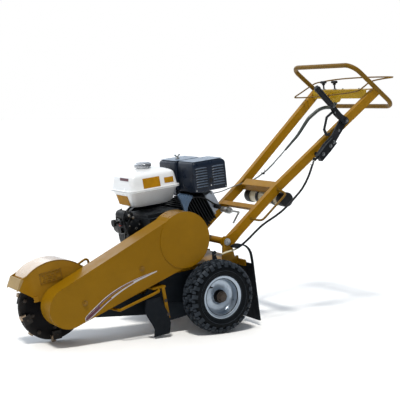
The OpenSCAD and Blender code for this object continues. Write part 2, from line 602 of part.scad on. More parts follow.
// ---------- mast ----------
module boxtube(l, o = 0) {
  difference() {
    translate([0, -tube_b / 2, -tube_h / 2 + o]) cube([l, tube_b, tube_h - 2 * o]);
    translate([4, -tube_b / 2 + 3, -tube_h / 2 + 3]) cube([l - 8, tube_b - 6, tube_h - 6]);
  }
}
splay = atan((top_v - foot_v) / 670);
module pivot_shaft() {
  color(steel) body() {
    ycyl(piv_u, piv_w, 10, -176, 176);
    for (s = [-1, 1]) ycyl(piv_u, piv_w, 14, s > 0 ? 172.1 : -180, s > 0 ? 180 : -172.1, 6);
  }
}
module mast() {
  color(gold) difference() {
    union() {
      mastf() {
        for (s = [-1, 1]) {
          translate([-14, s * foot_v, tube_n]) boxtube(374);
          translate([356, s * foot_v, tube_n]) rotate([0, 0, s * splay]) boxtube(678, 0.3);
          // foot cheeks
          translate([0, s > 0 ? 158.4 : -152, 0]) rotate([90, 0, 0]) linear_extrude(height = 6.4)
            polygon([[-22, 10], [-10, 22], [10, 22], [24, 8], [90, -2], [90, -36], [0, -42], [-18, -38], [-24, -20]]);
        }
        // lower cross plate
        translate([224, -129, -38]) cube([6, 258, 37.5]);
        translate([206, -128.5, -6.3]) cube([23, 257, 6]);
        // upper cross channel
        translate([341, -128.6, -5.6]) cube([38, 257.2, 6]);
        translate([342, -129.2, -38.5]) cube([5, 258.4, 36]);
        translate([373, -129.4, -38.5]) cube([5, 258.8, 36]);
      }
      // pivot barrel
      body() ycyl(piv_u, piv_w, 15, -158.9, 158.9);
    }
    body() ycyl(piv_u, piv_w, 10 + run, -170, 170);
    // tube ends finish under the legs of the handle loop
    body() translate([950, 0, 797]) rotate([0, 42.71, 0]) translate([-400, -400, -5]) cube([800, 800, 200]);
    mastf() {
      // clamp bolt hole and a spare hole
      // (holes run across the right tube)
      translate([196, 0, -28]) rotate([-90, 0, 0]) translate([0, 0, 100]) cylinder(h = 80, r = 6.5, $fn = 32);
      translate([246, 0, -22]) rotate([-90, 0, 0]) translate([0, 0, 118]) cylinder(h = 20, r = 4, $fn = 32);
    }
    // notch for the control cables in the upper channel
    mastf() translate([339.5, 103.5, -25.3]) cube([41.3, 21.7, 31.1]);
  }
}
// handle loop in its own sloping plane: length 318.5 along the slope, 466 wide
module handlebar() {
  la = 318.5; lv = 233; cr = 55;
  color(gold) body() translate([950, 0, 797]) rotate([0, 42.71, 0]) {
    for (s = [-1, 1]) {
      translate([-la / 2 + cr, s * lv, 0]) rotate([0, 90, 0]) cylinder(h = la - 2 * cr, r = loop_r, $fn = 40);
      translate([s * la / 2, -lv + cr, 0]) rotate([-90, 0, 0]) cylinder(h = 2 * lv - 2 * cr, r = loop_r, $fn = 40);
      for (t = [-1, 1]) translate([s * (la / 2 - cr), t * (lv - cr), 0]) rotate([0, 0, s > 0 ? (t > 0 ? 0 : -90) : (t > 0 ? 90 : 180)])
        rotate_extrude(angle = 90, $fn = 96) translate([cr, 0]) circle(r = loop_r, $fn = 40);
    }
  }
}
module guide_rod() { color(gold) mastf() sweep(guide_path, 5, 12); }
module canister() {
  color(white) mastf() {
    translate([349, 100, -78]) rotate([90, 0, 0]) cylinder(h = 258, r = 30, $fn = 64);
    for (v = [[-185, -140], [80, 125]]) translate([349, v[1], -78]) rotate([90, 0, 0]) cylinder(h = v[1] - v[0], r = 33, $fn = 64);
  }
}
module canister_straps() {
  color(dark) mastf() for (v = [-100, 20]) {
    translate([349, v + 9, -78]) rotate([90, 0, 0]) difference() {
      cylinder(h = 18, r = 33, $fn = 64);
      translate([0, 0, -1]) cylinder(h = 20, r = 30.1, $fn = 64);
    }
    difference() {
      translate([349, v - 9, -60]) cube([16, 18, 54.2]);
      translate([349, v + 20, -78]) rotate([90, 0, 0]) cylinder(h = 40, r = 30.1, $fn = 64);
    }
  }
}
module control_panel() {
  color(gold) body() {
    difference() {
      union() {
        translate([926, -201, 742]) cube([4, 402, 42]);
        translate([926, -201, 780]) cube([44, 402, 4]);
        translate([926, -201, 742]) cube([14, 402, 4]);
      }
      for (v = [45, 130]) ycyl_w(942, v, 4 + run, 770, 790, 32);
      // ends follow the splayed tubes
      for (s = [-1, 1]) translate([920, s * 205, 700]) rotate([0, 0, s * 6]) translate([-10, s > 0 ? 0 : -40, 0]) cube([90, 40, 100]);
    }
    // guide tubes of the two knobs and the cable outlet box
    for (v = [45, 130]) difference() { ycyl_w(942, v, 8, 762, 780.2, 32); ycyl_w(942, v, 4 + run, 760, 790, 32); }
    difference() {
      taper([934, 34, 956, 60], 722, [926.5, 24, 964, 72], 742.5);
      ycyl_w(942, 45, 9, 700, 742);
    }
    // two lugs that carry the bail
    for (v = [42, 62]) difference() {
      plate([[926.5, 748], [926.5, 772], [bail_u, bail_w + 11], [bail_u - 11, bail_w], [bail_u, bail_w - 11]], v, v + 4);
      ycyl(bail_u, bail_w, 6 + run, v - 1, v + 5, 32);
    }
  }
}
module knob(v) {
  body() {
    ycyl_w(942, v, 4, 752, 812, 32);
    ycyl_w(942, v, 8, 808, 820, 32);
    translate([942, v + 21, 821]) rotate([90, 0, 0]) cylinder(h = 42, r = 7, $fn = 32);
  }
}
module throttle_knob() { color(dark) knob(45); }
module choke_knob() { color(dark) knob(130); }
module bail() {
  color([0.35, 0.25, 0.15]) {
    mastf() csweep(bail_path, 3.5, 10);
    // hinge sleeve between the lugs of the panel
    body() ycyl(bail_u, bail_w, 6, 38, 70, 32);
  }
}

// ---------- brake lever on the left tube ----------
module mplate(pts, v1, v2) { translate([0, v2, 0]) rotate([90, 0, 0]) linear_extrude(height = v2 - v1) polygon(pts); }
module lever_bracket() {
  color(dark) mastf() {
    difference() {
      union() {
        mplate([[575, -48], [640, -46], [700, -42], [790, -22], [812, -6], [806, 14], [786, 20], [700, -6], [640, -4], [575, -14]], -222, -214);
        mplate([[575, -48], [640, -46], [690, -42], [690, -8], [640, -6], [575, -14]], -240, -221);
      }
      // lightening hole
      translate([745, -200, -14]) rotate([90, 0, 0]) cylinder(h = 60, r = 7, $fn = 32);
    }
    // stand-offs to the tube face
    for (c = [[600, 184], [680, 194]]) translate([c[0], -c[1] + 6, -28]) rotate([90, 0, 0]) cylinder(h = 214.5 - c[1] + 6, r = 8, $fn = 32);
    for (x = [600, 655, 680]) translate([x, -239.8, -27]) rotate([90, 0, 0]) cylinder(h = 5, r = 7, $fn = 6);
    // cable adjuster
    translate([550, -229, -20]) rotate([0, 90, 0]) cylinder(h = 26, r = 6, $fn = 24);
    // pivot pin of the lever
    translate([794, -214, 0]) rotate([90, 0, 0]) cylinder(h = 30, r = 5, $fn = 32);
    translate([794, -243, 0]) rotate([90, 0, 0]) cylinder(h = 5, r = 9, $fn = 6);
  }
}
module brake_lever() {
  color(dark) mastf() {
    difference() {
      union() {
        mplate([[780, -12], [794, -16], [808, -10], [810, 6], [796, 40], [788, 110], [772, 112], [766, 60], [776, 16]], -240, -223);
        translate([794, -223, 0]) rotate([90, 0, 0]) cylinder(h = 17, r = 15, $fn = 48);
      }
      translate([794, -200, 0]) rotate([90, 0, 0]) cylinder(h = 60, r = 5 + run, $fn = 32);
      // slot for the trigger
      mplate([[745, 50], [776, 50], [780, 92], [745, 92]], -236, -227);
    }
    translate([780.5, -231.5, 108]) rotate([0, -7, 0]) cylinder(h = 94, r = 9, $fn = 40);
    translate([769, -231.5, 201]) rotate([0, -7, 0]) cylinder(h = 24, r = 12, $fn = 40);
    translate([770.2, -231.5, 192]) rotate([0, -7, 0]) cylinder(h = 10, r = 11, $fn = 40);
    // trigger pin
    translate([770, -238, 72]) rotate([90, 0, 0]) translate([0, 0, -13]) cylinder(h = 14, r = 2.5, $fn = 24);
  }
}
module lever_trigger() {
  color(dark) mastf() difference() {
    mplate([[776, 68], [776, 78], [762, 84], [724, 87], [674, 52], [668, 22], [678, 12], [694, 14], [690, 22], [679, 24], [684, 48], [727, 78], [758, 75]], -235, -228);
    translate([770, -200, 72]) rotate([90, 0, 0]) cylinder(h = 60, r = 2.5 + run, $fn = 24);
  }
}

// ---------- tilt clamp ----------
module clamp_barrel() {
  color(steel) mastf() {
    // bolt through the right tube and the sector slot
    translate([196, 176, -28]) rotate([90, 0, 0]) cylinder(h = 130, r = 6, $fn = 40);
    translate([196, 176.5, -28]) rotate([90, 0, 0]) cylinder(h = 7, r = 12, $fn = 6);
    // spacer barrel on the inner face
    translate([196, 127.3, -28]) rotate([90, 0, 0]) difference() {
      union() { cylinder(h = 58, r = 10, $fn = 48); translate([0, 0, 34]) cylinder(h = 18, r = 16, $fn = 48); }
      translate([0, 0, -1]) cylinder(h = 80, r = 5.9, $fn = 40);
    }
  }
}
module clamp_handle() {
  color(steel) mastf() {
    difference() {
      translate([196, 68.9, -28]) rotate([90, 0, 0]) cylinder(h = 15, r = 11, $fn = 40);
      translate([196, 90, -28]) rotate([90, 0, 0]) cylinder(h = 60, r = 6 + run, $fn = 40);
    }
    seg([199, 61, -34], [225, 60, -66], 4.5);
    translate([225, 60, -66]) sphere(r = 5, $fn = 32);
    seg([225, 60, -66], [166, 53, -80], 4.5);
    translate([166, 53, -80]) sphere(r = 5.2, $fn = 32);
  }
}

// ---------- cables ----------
module brake_cable() { color(dark) translate([axle_x, 0, 0]) sweep(brake_route, 5, 10); }
module control_cables() { color(dark) translate([axle_x, 0, 0]) sweep(control_route, 4, 10); }

chassis();
cutter_arm();
hood();
hood_handle();
belt_guard();
guard_backplate();
guard_bolts();
axle();
bearing_housings();
belts();
engine_block();
cylinder_();  // cylinder
rocker_cover();
recoil_housing();
tank_lower();
tank_upper();
muffler();
muffler_guard();
air_cleaner();
carburettor();
starter_motor();
dipsticks();
spark_plug();
tie_down_rod();
leg_flap();
side_skirt();
rear_flaps();
pivot_shaft();
mast();
handlebar();
guide_rod();
canister();
canister_straps();
control_panel();
lever_bracket();
brake_cable();
control_cables();
clamp_barrel();
clamp_handle();
throttle_knob();
choke_knob();
bail();
brake_lever();
lever_trigger();
brake_arm();
fuel_cap();
throttle_lever();
recoil_handle();
near_tyre();
far_tyre();
near_rim();
far_rim();
brake_drum();
cutter_shaft();
driven_pulley();
cutter_disc();
cutter_teeth();
crankshaft();
clutch_drum();
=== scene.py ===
import math
import random

import bpy
import bmesh
from mathutils import Matrix, Vector


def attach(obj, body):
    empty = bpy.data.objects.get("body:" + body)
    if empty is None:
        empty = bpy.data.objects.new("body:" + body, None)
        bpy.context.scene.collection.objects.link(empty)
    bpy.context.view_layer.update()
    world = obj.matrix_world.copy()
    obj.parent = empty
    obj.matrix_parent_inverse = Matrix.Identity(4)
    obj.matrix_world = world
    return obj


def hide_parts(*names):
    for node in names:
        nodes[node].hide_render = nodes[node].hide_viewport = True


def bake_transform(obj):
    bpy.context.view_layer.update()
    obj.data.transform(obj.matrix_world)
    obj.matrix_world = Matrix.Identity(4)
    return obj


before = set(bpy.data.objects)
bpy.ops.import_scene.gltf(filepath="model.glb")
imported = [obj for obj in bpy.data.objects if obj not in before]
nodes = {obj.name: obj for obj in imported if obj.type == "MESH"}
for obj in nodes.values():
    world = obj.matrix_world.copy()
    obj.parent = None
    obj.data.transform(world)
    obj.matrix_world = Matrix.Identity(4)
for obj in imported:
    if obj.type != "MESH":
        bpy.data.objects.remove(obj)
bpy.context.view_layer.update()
random.seed(7)

# ------------------------------------------------------------------ frames
AX = -0.06604
P = math.radians(6.8755)
M = math.radians(34.41)
WF = Matrix.Translation((AX, 0, 0))
BF = Matrix.Translation((AX, 0, 0.1565)) @ Matrix.Rotation(-P, 4, "Y")
MF = BF @ Matrix.Translation((0.111, 0, 0.208)) @ Matrix.Rotation(-M, 4, "Y")
LF = BF @ Matrix.Translation((0.950, 0, 0.797)) @ Matrix.Rotation(math.radians(42.71), 4, "Y")
EF = BF @ Matrix.Translation((-0.110, 0, 0.267)) @ Matrix.Rotation(-math.radians(25), 4, "Y")
CUT = (-675, 78)
CRK = (-110, 267)


def at(F, u, v, w):
    return F @ Vector((u / 1000, v / 1000, w / 1000))


# ------------------------------------------------------------------ materials
def material(name, base, rough=0.5, metal=0.0, var=0.12, scale=14.0, bump=0.02, bump_scale=220.0, coat=0.0, dirt=None,
             dirt_amount=0.0, edge=None, edge_amount=0.0, rough_var=0.12, ior=1.5, spec=0.5):
    m = bpy.data.materials.new(name)
    m.use_nodes = True
    nt = m.node_tree
    nt.nodes.clear()
    N = nt.nodes.new
    L = nt.links.new
    out = N("ShaderNodeOutputMaterial")
    bs = N("ShaderNodeBsdfPrincipled")
    L(bs.outputs[0], out.inputs[0])
    bs.inputs["Metallic"].default_value = metal
    bs.inputs["IOR"].default_value = ior
    bs.inputs["Specular IOR Level"].default_value = spec
    if coat:
        bs.inputs["Coat Weight"].default_value = coat
        bs.inputs["Coat Roughness"].default_value = 0.12
    tc = N("ShaderNodeTexCoord")
    n1 = N("ShaderNodeTexNoise")
    n1.inputs["Scale"].default_value = scale
    n1.inputs["Detail"].default_value = 6
    n1.inputs["Roughness"].default_value = 0.6
    L(tc.outputs["Object"], n1.inputs["Vector"])
    cr = N("ShaderNodeValToRGB")
    cr.color_ramp.elements[0].position = 0.3
    cr.color_ramp.elements[1].position = 0.7
    cr.color_ramp.elements[0].color = tuple(max(0, c * (1 - var)) for c in base) + (1,)
    cr.color_ramp.elements[1].color = tuple(min(1, c * (1 + var)) for c in base) + (1,)
    L(n1.outputs["Fac"], cr.inputs["Fac"])
    last = cr.outputs["Color"]
    if dirt:
        n2 = N("ShaderNodeTexNoise")
        n2.inputs["Scale"].default_value = scale * 2.7
        n2.inputs["Detail"].default_value = 9
        n2.inputs["Roughness"].default_value = 0.72
        L(tc.outputs["Object"], n2.inputs["Vector"])
        r2 = N("ShaderNodeMapRange")
        r2.inputs["From Min"].default_value = 0.5
        r2.inputs["From Max"].default_value = 0.72
        r2.inputs["To Min"].default_value = 0
        r2.inputs["To Max"].default_value = dirt_amount
        L(n2.outputs["Fac"], r2.inputs["Value"])
        mx = N("ShaderNodeMixRGB")
        L(r2.outputs[0], mx.inputs["Fac"])
        L(last, mx.inputs["Color1"])
        mx.inputs["Color2"].default_value = tuple(dirt) + (1,)
        last = mx.outputs["Color"]
    if edge:
        geo = N("ShaderNodeNewGeometry")
        r3 = N("ShaderNodeMapRange")
        r3.inputs["From Min"].default_value = 0.53
        r3.inputs["From Max"].default_value = 0.62
        r3.inputs["To Max"].default_value = edge_amount
        L(geo.outputs["Pointiness"], r3.inputs["Value"])
        mu = N("ShaderNodeMath")
        mu.operation = "MULTIPLY"
        L(r3.outputs[0], mu.inputs[0])
        L(n1.outputs["Fac"], mu.inputs[1])
        mx = N("ShaderNodeMixRGB")
        L(mu.outputs[0], mx.inputs["Fac"])
        L(last, mx.inputs["Color1"])
        mx.inputs["Color2"].default_value = tuple(edge) + (1,)
        last = mx.outputs["Color"]
    L(last, bs.inputs["Base Color"])
    n3 = N("ShaderNodeTexNoise")
    n3.inputs["Scale"].default_value = scale * 4
    n3.inputs["Detail"].default_value = 4
    L(tc.outputs["Object"], n3.inputs["Vector"])
    rr = N("ShaderNodeMapRange")
    rr.inputs["From Min"].default_value = 0.3
    rr.inputs["From Max"].default_value = 0.7
    rr.inputs["To Min"].default_value = max(0.04, rough - rough_var)
    rr.inputs["To Max"].default_value = min(1, rough + rough_var)
    L(n3.outputs["Fac"], rr.inputs["Value"])
    L(rr.outputs[0], bs.inputs["Roughness"])
    if bump:
        n4 = N("ShaderNodeTexNoise")
        n4.inputs["Scale"].default_value = bump_scale
        n4.inputs["Detail"].default_value = 3
        L(tc.outputs["Object"], n4.inputs["Vector"])
        bp = N("ShaderNodeBump")
        bp.inputs["Strength"].default_value = bump
        bp.inputs["Distance"].default_value = 0.002
        L(n4.outputs["Fac"], bp.inputs["Height"])
        L(bp.outputs[0], bs.inputs["Normal"])
    return m


MAT = {
    "gold": material("gold_paint", (0.212, 0.104, 0.0008), 0.36, 0.0, 0.06, 7, 0.05, 160, 0.0, (0.15, 0.072, 0.002), 0.22,
                     (0.30, 0.165, 0.012), 0.35, 0.06, spec=0.09),
    # hood and mast: a lighter copy of the gold paint; the lighter base is painted light, the heavier dirt and rubbed
    # edges are wear
    "goldworn_and_lit": material("gold_paint_worn_and_lit", (0.262, 0.124, 0.0012), 0.42, 0.0, 0.10, 9, 0.08, 160, 0.0, (0.175, 0.085, 0.004), 0.35,
                         (0.36, 0.22, 0.05), 0.45, 0.08, spec=0.06),
    "goldtube": material("gold_paint_tube", (0.150, 0.078, 0.004), 0.40, 0.0, 0.10, 12, 0.06, 160, 0.0, (0.10, 0.055, 0.012), 0.3,
                         (0.24, 0.15, 0.04), 0.4, 0.08, spec=0.12),
    "goldgloss": material("gold_paint_gloss", (0.262, 0.124, 0.0012), 0.30, 0.0, 0.06, 9, 0.05, 160, 0.7, (0.20, 0.10, 0.01), 0.3,
                          (0.36, 0.22, 0.05), 0.4, 0.08, spec=0.7),
    # control panel: a lighter copy of the gold paint, painted light on the lit panel
    "goldpanel": material("gold_paint_lit_copy", (0.40, 0.245, 0.010), 0.40, 0.0, 0.08, 9, 0.05, 160, 0.0, (0.26, 0.15, 0.01), 0.25, spec=0.1),
    # flat tops of the muffler guard and lid: lighter and bluer than the enamel sides, a painted sky reflection
    "bluetop": material("blue_black_top_painted_reflection", (0.085, 0.130, 0.195), 0.34, 0.0, 0.22, 14, 0.2, 300, 0.2, (0.02, 0.03, 0.045), 0.3, spec=0.5),
    "tan": material("tan_faded_paint", (0.30, 0.20, 0.07), 0.5, 0.0, 0.12, 16, 0.12, 260, 0.0, (0.16, 0.09, 0.03), 0.4, spec=0.4),
    "white": material("white_enamel", (0.75, 0.765, 0.775), 0.24, 0.0, 0.03, 7, 0.04, 90, 0.4, (0.58, 0.57, 0.52), 0.14, None, 0, 0.05),
    "bluecoat": material("blue_black_enamel", (0.0050, 0.0105, 0.0225), 0.36, 0.0, 0.18, 12, 0.12, 300, 0.0, (0.010, 0.016, 0.024), 0.2,
                         (0.06, 0.08, 0.11), 0.4, spec=0.22),
    # louvre lips: a lighter copy of the blue-black enamel, a painted highlight where the lips catch the light
    "louvre": material("louvre_painted_highlight", (0.060, 0.082, 0.118), 0.32, 0.0, 0.18, 12, 0.12, 300, 0.0, (0.05, 0.05, 0.05), 0.2, spec=0.6),
    "black": material("black_paint", (0.0035, 0.0045, 0.006), 0.46, 0.0, 0.2, 16, 0.12, 300, 0.0, (0.014, 0.013, 0.012), 0.25,
                      (0.05, 0.052, 0.06), 0.4, spec=0.14),
    "plastic": material("black_plastic", (0.004, 0.0048, 0.0062), 0.46, 0.0, 0.15, 20, 0.25, 700, 0.0, (0.014, 0.013, 0.012), 0.2, spec=0.2),
    "iron": material("cast_iron", (0.045, 0.037, 0.031), 0.62, 0.45, 0.25, 24, 0.7, 420, 0.0, (0.12, 0.055, 0.03), 0.5),
    "rust": material("rusty_steel", (0.075, 0.042, 0.022), 0.6, 0.3, 0.3, 60, 0.7, 420, 0.0, (0.16, 0.075, 0.03), 0.6),
    "disc": material("worn_disc", (0.0045, 0.0045, 0.0055), 0.6, 0.0, 0.3, 18, 0.4, 260, 0.0, (0.020, 0.012, 0.008), 0.45, (0.12, 0.11, 0.10), 0.5, spec=0.12),
    "carbide": material("brazed_carbide", (0.33, 0.21, 0.10), 0.42, 0.8, 0.3, 60, 0.5, 500, 0.0, (0.05, 0.04, 0.035), 0.5, (0.6, 0.55, 0.5), 0.6),
    "alloy": material("cast_alloy", (0.36, 0.40, 0.46), 0.42, 0.8, 0.12, 22, 0.45, 520, 0.0, (0.08, 0.075, 0.07), 0.4),
    "block": material("painted_block", (0.0075, 0.010, 0.0125), 0.5, 0.1, 0.3, 18, 0.4, 420, 0.0, (0.05, 0.056, 0.062), 0.4, spec=0.3),
    "shroud": material("silver_shroud", (0.05, 0.088, 0.145), 0.28, 0.7, 0.1, 10, 0.12, 200, 0.2, (0.10, 0.09, 0.08), 0.3),
    "steel": material("turned_steel", (0.40, 0.40, 0.40), 0.30, 0.95, 0.1, 40, 0.12, 800, 0.0, (0.16, 0.10, 0.06), 0.25),
    "zinc": material("zinc_plate", (0.40, 0.41, 0.41), 0.38, 0.85, 0.14, 45, 0.15, 600, 0.0, (0.22, 0.19, 0.14), 0.3),
    "galv": material("galvanised_rim", (0.36, 0.42, 0.49), 0.33, 0.8, 0.14, 14, 0.16, 240, 0.0, (0.14, 0.14, 0.135), 0.4, rough_var=0.06),
    "chrome": material("bright_cap", (0.42, 0.43, 0.45), 0.24, 0.9, 0.06, 30, 0.05, 400, 0.0, (0.25, 0.25, 0.25), 0.15),
    "rubber": material("sheet_rubber", (0.0035, 0.0055, 0.0085), 0.58, 0.0, 0.25, 12, 0.35, 160, 0.0, (0.010, 0.013, 0.017), 0.4, (0.03, 0.04, 0.05), 0.4, spec=0.12),
    # tyre: the bluish lighter colour on convex lug edges (edge, by Pointiness) is a painted highlight
    "tyre": material("tyre_rubber", (0.0018, 0.0030, 0.0045), 0.52, 0.0, 0.2, 26, 0.4, 420, 0.0, (0.007, 0.009, 0.011), 0.3,
                     (0.075, 0.092, 0.115), 0.9, spec=0.09),
    "bolt": material("dark_bolt", (0.16, 0.17, 0.18), 0.42, 0.8, 0.2, 45, 0.2, 600, 0.0, (0.06, 0.045, 0.035), 0.4),
    "cream": material("cream_plastic", (0.66, 0.60, 0.42), 0.42, 0.0, 0.05, 12, 0.1, 200, 0.1, (0.42, 0.36, 0.24), 0.2),
    "maroon": material("maroon_film", (0.075, 0.006, 0.020), 0.35, 0.0, 0.08, 30, 0.03, 300, 0.0),
    "film": material("silver_film", (0.44, 0.42, 0.42), 0.4, 0.0, 0.08, 30, 0.03, 300, 0.2),
    "goldfilm": material("gold_film", (0.37, 0.175, 0.006), 0.45, 0.0, 0.16, 40, 0.04, 300, 0.0, spec=0.06),
    "redplastic": material("red_plastic", (0.28, 0.02, 0.015), 0.4, 0.0, 0.08, 30, 0.1, 300, 0.1),
    "weld": material("painted_weld", (0.20, 0.10, 0.004), 0.5, 0.0, 0.2, 60, 0.8, 300, 0.0, (0.10, 0.05, 0.01), 0.4, spec=0.3),
}


# ------------------------------------------------------------------ mesh helpers, in millimetres in a frame
def bm_new():
    return bmesh.new()


def add_box(bm, a, b, T=None):
    a, b = [min(x, y) for x, y in zip(a, b)], [max(x, y) for x, y in zip(a, b)]
    v = [bm.verts.new((T @ Vector((x, y, z))) if T else (x, y, z)) for z in (a[2], b[2]) for y in (a[1], b[1]) for x in (a[0], b[0])]
    for q in ((0, 2, 3, 1), (4, 5, 7, 6), (0, 1, 5, 4), (2, 6, 7, 3), (0, 4, 6, 2), (1, 3, 7, 5)):
        bm.faces.new([v[i] for i in q])


def basis(axis):
    z = Vector(axis).normalized()
    x = z.orthogonal().normalized()
    return x, z.cross(x), z


def add_cyl(bm, p, axis, r, h, n=32, r2=None, T=None, off=0.0):
    """closed cylinder or cone from p along axis"""
    x, y, z = basis(axis)
    p = Vector(p)
    r2 = r if r2 is None else r2
    rows = []
    for q, rad in ((p, r), (p + z * h, r2)):
        rows.append([bm.verts.new(T @ (q + rad * (math.cos(t) * x + math.sin(t) * y)) if T else q + rad * (math.cos(t) * x + math.sin(t) * y))
                     for t in [2 * math.pi * (k + off) / n for k in range(n)]])
    for k in range(n):
        bm.faces.new([rows[0][k], rows[0][(k + 1) % n], rows[1][(k + 1) % n], rows[1][k]])
    bm.faces.new(rows[0][::-1])
    bm.faces.new(rows[1])


def add_lathe(bm, u, w, prof, n=96, closed=False, arc=None):
    """profile points [radius, v] turned about the Y axis through (u, w)"""
    rows = []
    full = arc is None
    steps = n if full else n + 1
    for k in range(steps):
        t = 2 * math.pi * k / n if full else math.radians(arc[0] + (arc[1] - arc[0]) * k / n)
        rows.append([bm.verts.new((u + r * math.cos(t), v, w + r * math.sin(t))) for r, v in prof])
    m = len(prof)
    for k in range(n if full else n):
        a, b = rows[k], rows[(k + 1) % steps]
        for i in range(m if closed else m - 1):
            j = (i + 1) % m
            if prof[i][0] < 1e-6 and prof[j][0] < 1e-6:
                continue
            try:
                bm.faces.new([a[i], a[j], b[j], b[i]])
            except ValueError:
                pass


def add_prism(bm, pts, v1, v2):
    a = [bm.verts.new((u, v1, w)) for u, w in pts]
    b = [bm.verts.new((u, v2, w)) for u, w in pts]
    n = len(pts)
    bm.faces.new(a)
    bm.faces.new(b[::-1])
    for i in range(n):
        bm.faces.new([a[(i + 1) % n], a[i], b[i], b[(i + 1) % n]])


def smooth_path(p, sub=6, closed=False):
    """Catmull-Rom through the points"""
    p = [Vector(q) for q in p]
    n = len(p)
    out = []
    for i in range(n if closed else n - 1):
        if closed:
            a, b, c, d = p[i - 1], p[i], p[(i + 1) % n], p[(i + 2) % n]
        else:
            b, c = p[i], p[i + 1]
            a = p[i - 1] if i else b + (b - c)
            d = p[i + 2] if i + 2 < n else c + (c - b)
        for k in range(sub):
            t = k / sub
            out.append(0.5 * ((2 * b) + (c - a) * t + (2 * a - 5 * b + 4 * c - d) * t * t + (3 * b - a - 3 * c + d) * t ** 3))
    if not closed:
        out.append(p[-1])
    return out


def add_tube(bm, pts, r, n=16, closed=False, sub=6, caps=True):
    """round tube through the points; r is a number or a function of the way along from 0 to 1"""
    q = smooth_path(pts, sub, closed) if sub > 1 else [Vector(x) for x in pts]
    m = len(q)
    ref = None
    rows = []
    for i in range(m):
        t = (q[(i + 1) % m] - q[i - 1]) if closed else (q[min(i + 1, m - 1)] - q[max(i - 1, 0)])
        t.normalize()
        ref = t.orthogonal().normalized() if ref is None else (ref - t * ref.dot(t)).normalized()
        b = t.cross(ref)
        rad = r(i / (m - 1)) if callable(r) else r
        rows.append([bm.verts.new(q[i] + rad * (math.cos(2 * math.pi * k / n) * ref + math.sin(2 * math.pi * k / n) * b)) for k in range(n)])
    for i in range(m if closed else m - 1):
        a, b = rows[i], rows[(i + 1) % m]
        sh = 0
        if closed and i == m - 1:
            sh = min(range(n), key=lambda s: (a[0].co - b[s].co).length)
        for k in range(n):
            bm.faces.new([a[k], a[(k + 1) % n], b[(k + 1 + sh) % n], b[(k + sh) % n]])
    if caps and not closed:
        bm.faces.new(rows[0][::-1])
        bm.faces.new(rows[-1])
    return q


def add_loft(bm, rings, cap0=True, cap1=True):
    rows = [[bm.verts.new(p) for p in ring] for ring in rings]
    n = len(rows[0])
    for a, b in zip(rows, rows[1:]):
        for k in range(n):
            bm.faces.new([a[k], a[(k + 1) % n], b[(k + 1) % n], b[k]])
    if cap0:
        bm.faces.new(rows[0][::-1])
    if cap1:
        bm.faces.new(rows[-1])


def rrect(u1, v1, u2, v2, r, w, n=7):
    """rounded rectangle in plan at height w"""
    r = min(r, (u2 - u1) / 2 - 0.01, (v2 - v1) / 2 - 0.01)
    out = []
    for cx, cy, a0 in ((u2 - r, v2 - r, 0), (u1 + r, v2 - r, 90), (u1 + r, v1 + r, 180), (u2 - r, v1 + r, 270)):
        for k in range(n + 1):
            t = math.radians(a0 + 90 * k / n)
            out.append((cx + r * math.cos(t), cy + r * math.sin(t), w))
    return out


def add_bolt(bm, p, axis, af=13, h=6, washer=True, stud=0):
    """hex head with a chamfer and a washer, standing on p and pointing along axis"""
    p, z = Vector(p), Vector(axis).normalized()
    if washer:
        add_cyl(bm, p, z, af * 0.82, 1.6, 28)
        p = p + z * 1.6
    add_cyl(bm, p, z, af * 0.577, h * 0.8, 6)
    add_cyl(bm, p + z * h * 0.8, z, af * 0.577, h * 0.2, 6, af * 0.47)
    if stud:
        add_cyl(bm, p + z * h, z, af * 0.28, stud, 16)


def make(name, bm, F, mat, body, rep=(), bevel=0.0, seg=2, angle=35, sub=0, solid=0.0, flat=False, blend=None, recalc=True):
    if recalc:
        bmesh.ops.recalc_face_normals(bm, faces=bm.faces)
    me = bpy.data.meshes.new(name)
    bm.to_mesh(me)
    bm.free()
    me.transform(F @ Matrix.Scale(0.001, 4))
    if F.to_3x3().determinant() < 0:
        me.flip_normals()
    o = bpy.data.objects.new(name, me)
    bpy.context.scene.collection.objects.link(o)
    me.materials.append(MAT[mat] if isinstance(mat, str) else mat)
    if not flat:
        me.polygons.foreach_set("use_smooth", [True] * len(me.polygons))
        me.set_sharp_from_angle(angle=math.radians(angle))
    if solid:
        md = o.modifiers.new("thickness", "SOLIDIFY")
        md.thickness = solid / 1000
        md.offset = 0
        md.use_even_offset = True
    if bevel:
        md = o.modifiers.new("edges", "BEVEL")
        md.width = bevel / 1000
        md.segments = seg
        md.limit_method = "ANGLE"
        md.angle_limit = math.radians(40)
        md.harden_normals = True
    if sub:
        md = o.modifiers.new("round", "SUBSURF")
        md.levels = md.render_levels = sub
    if blend:
        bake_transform(o)
    else:
        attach(o, body)
    if rep:
        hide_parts(*rep)
    return o


def dress(node, mat, bevel=0.0, seg=2):
    o = nodes[node]
    o.data.materials.clear()
    o.data.materials.append(MAT[mat])
    if bevel:
        md = o.modifiers.new("edges", "BEVEL")
        md.width = bevel / 1000
        md.segments = seg
        md.limit_method = "ANGLE"
        md.angle_limit = math.radians(50)
        md.harden_normals = True


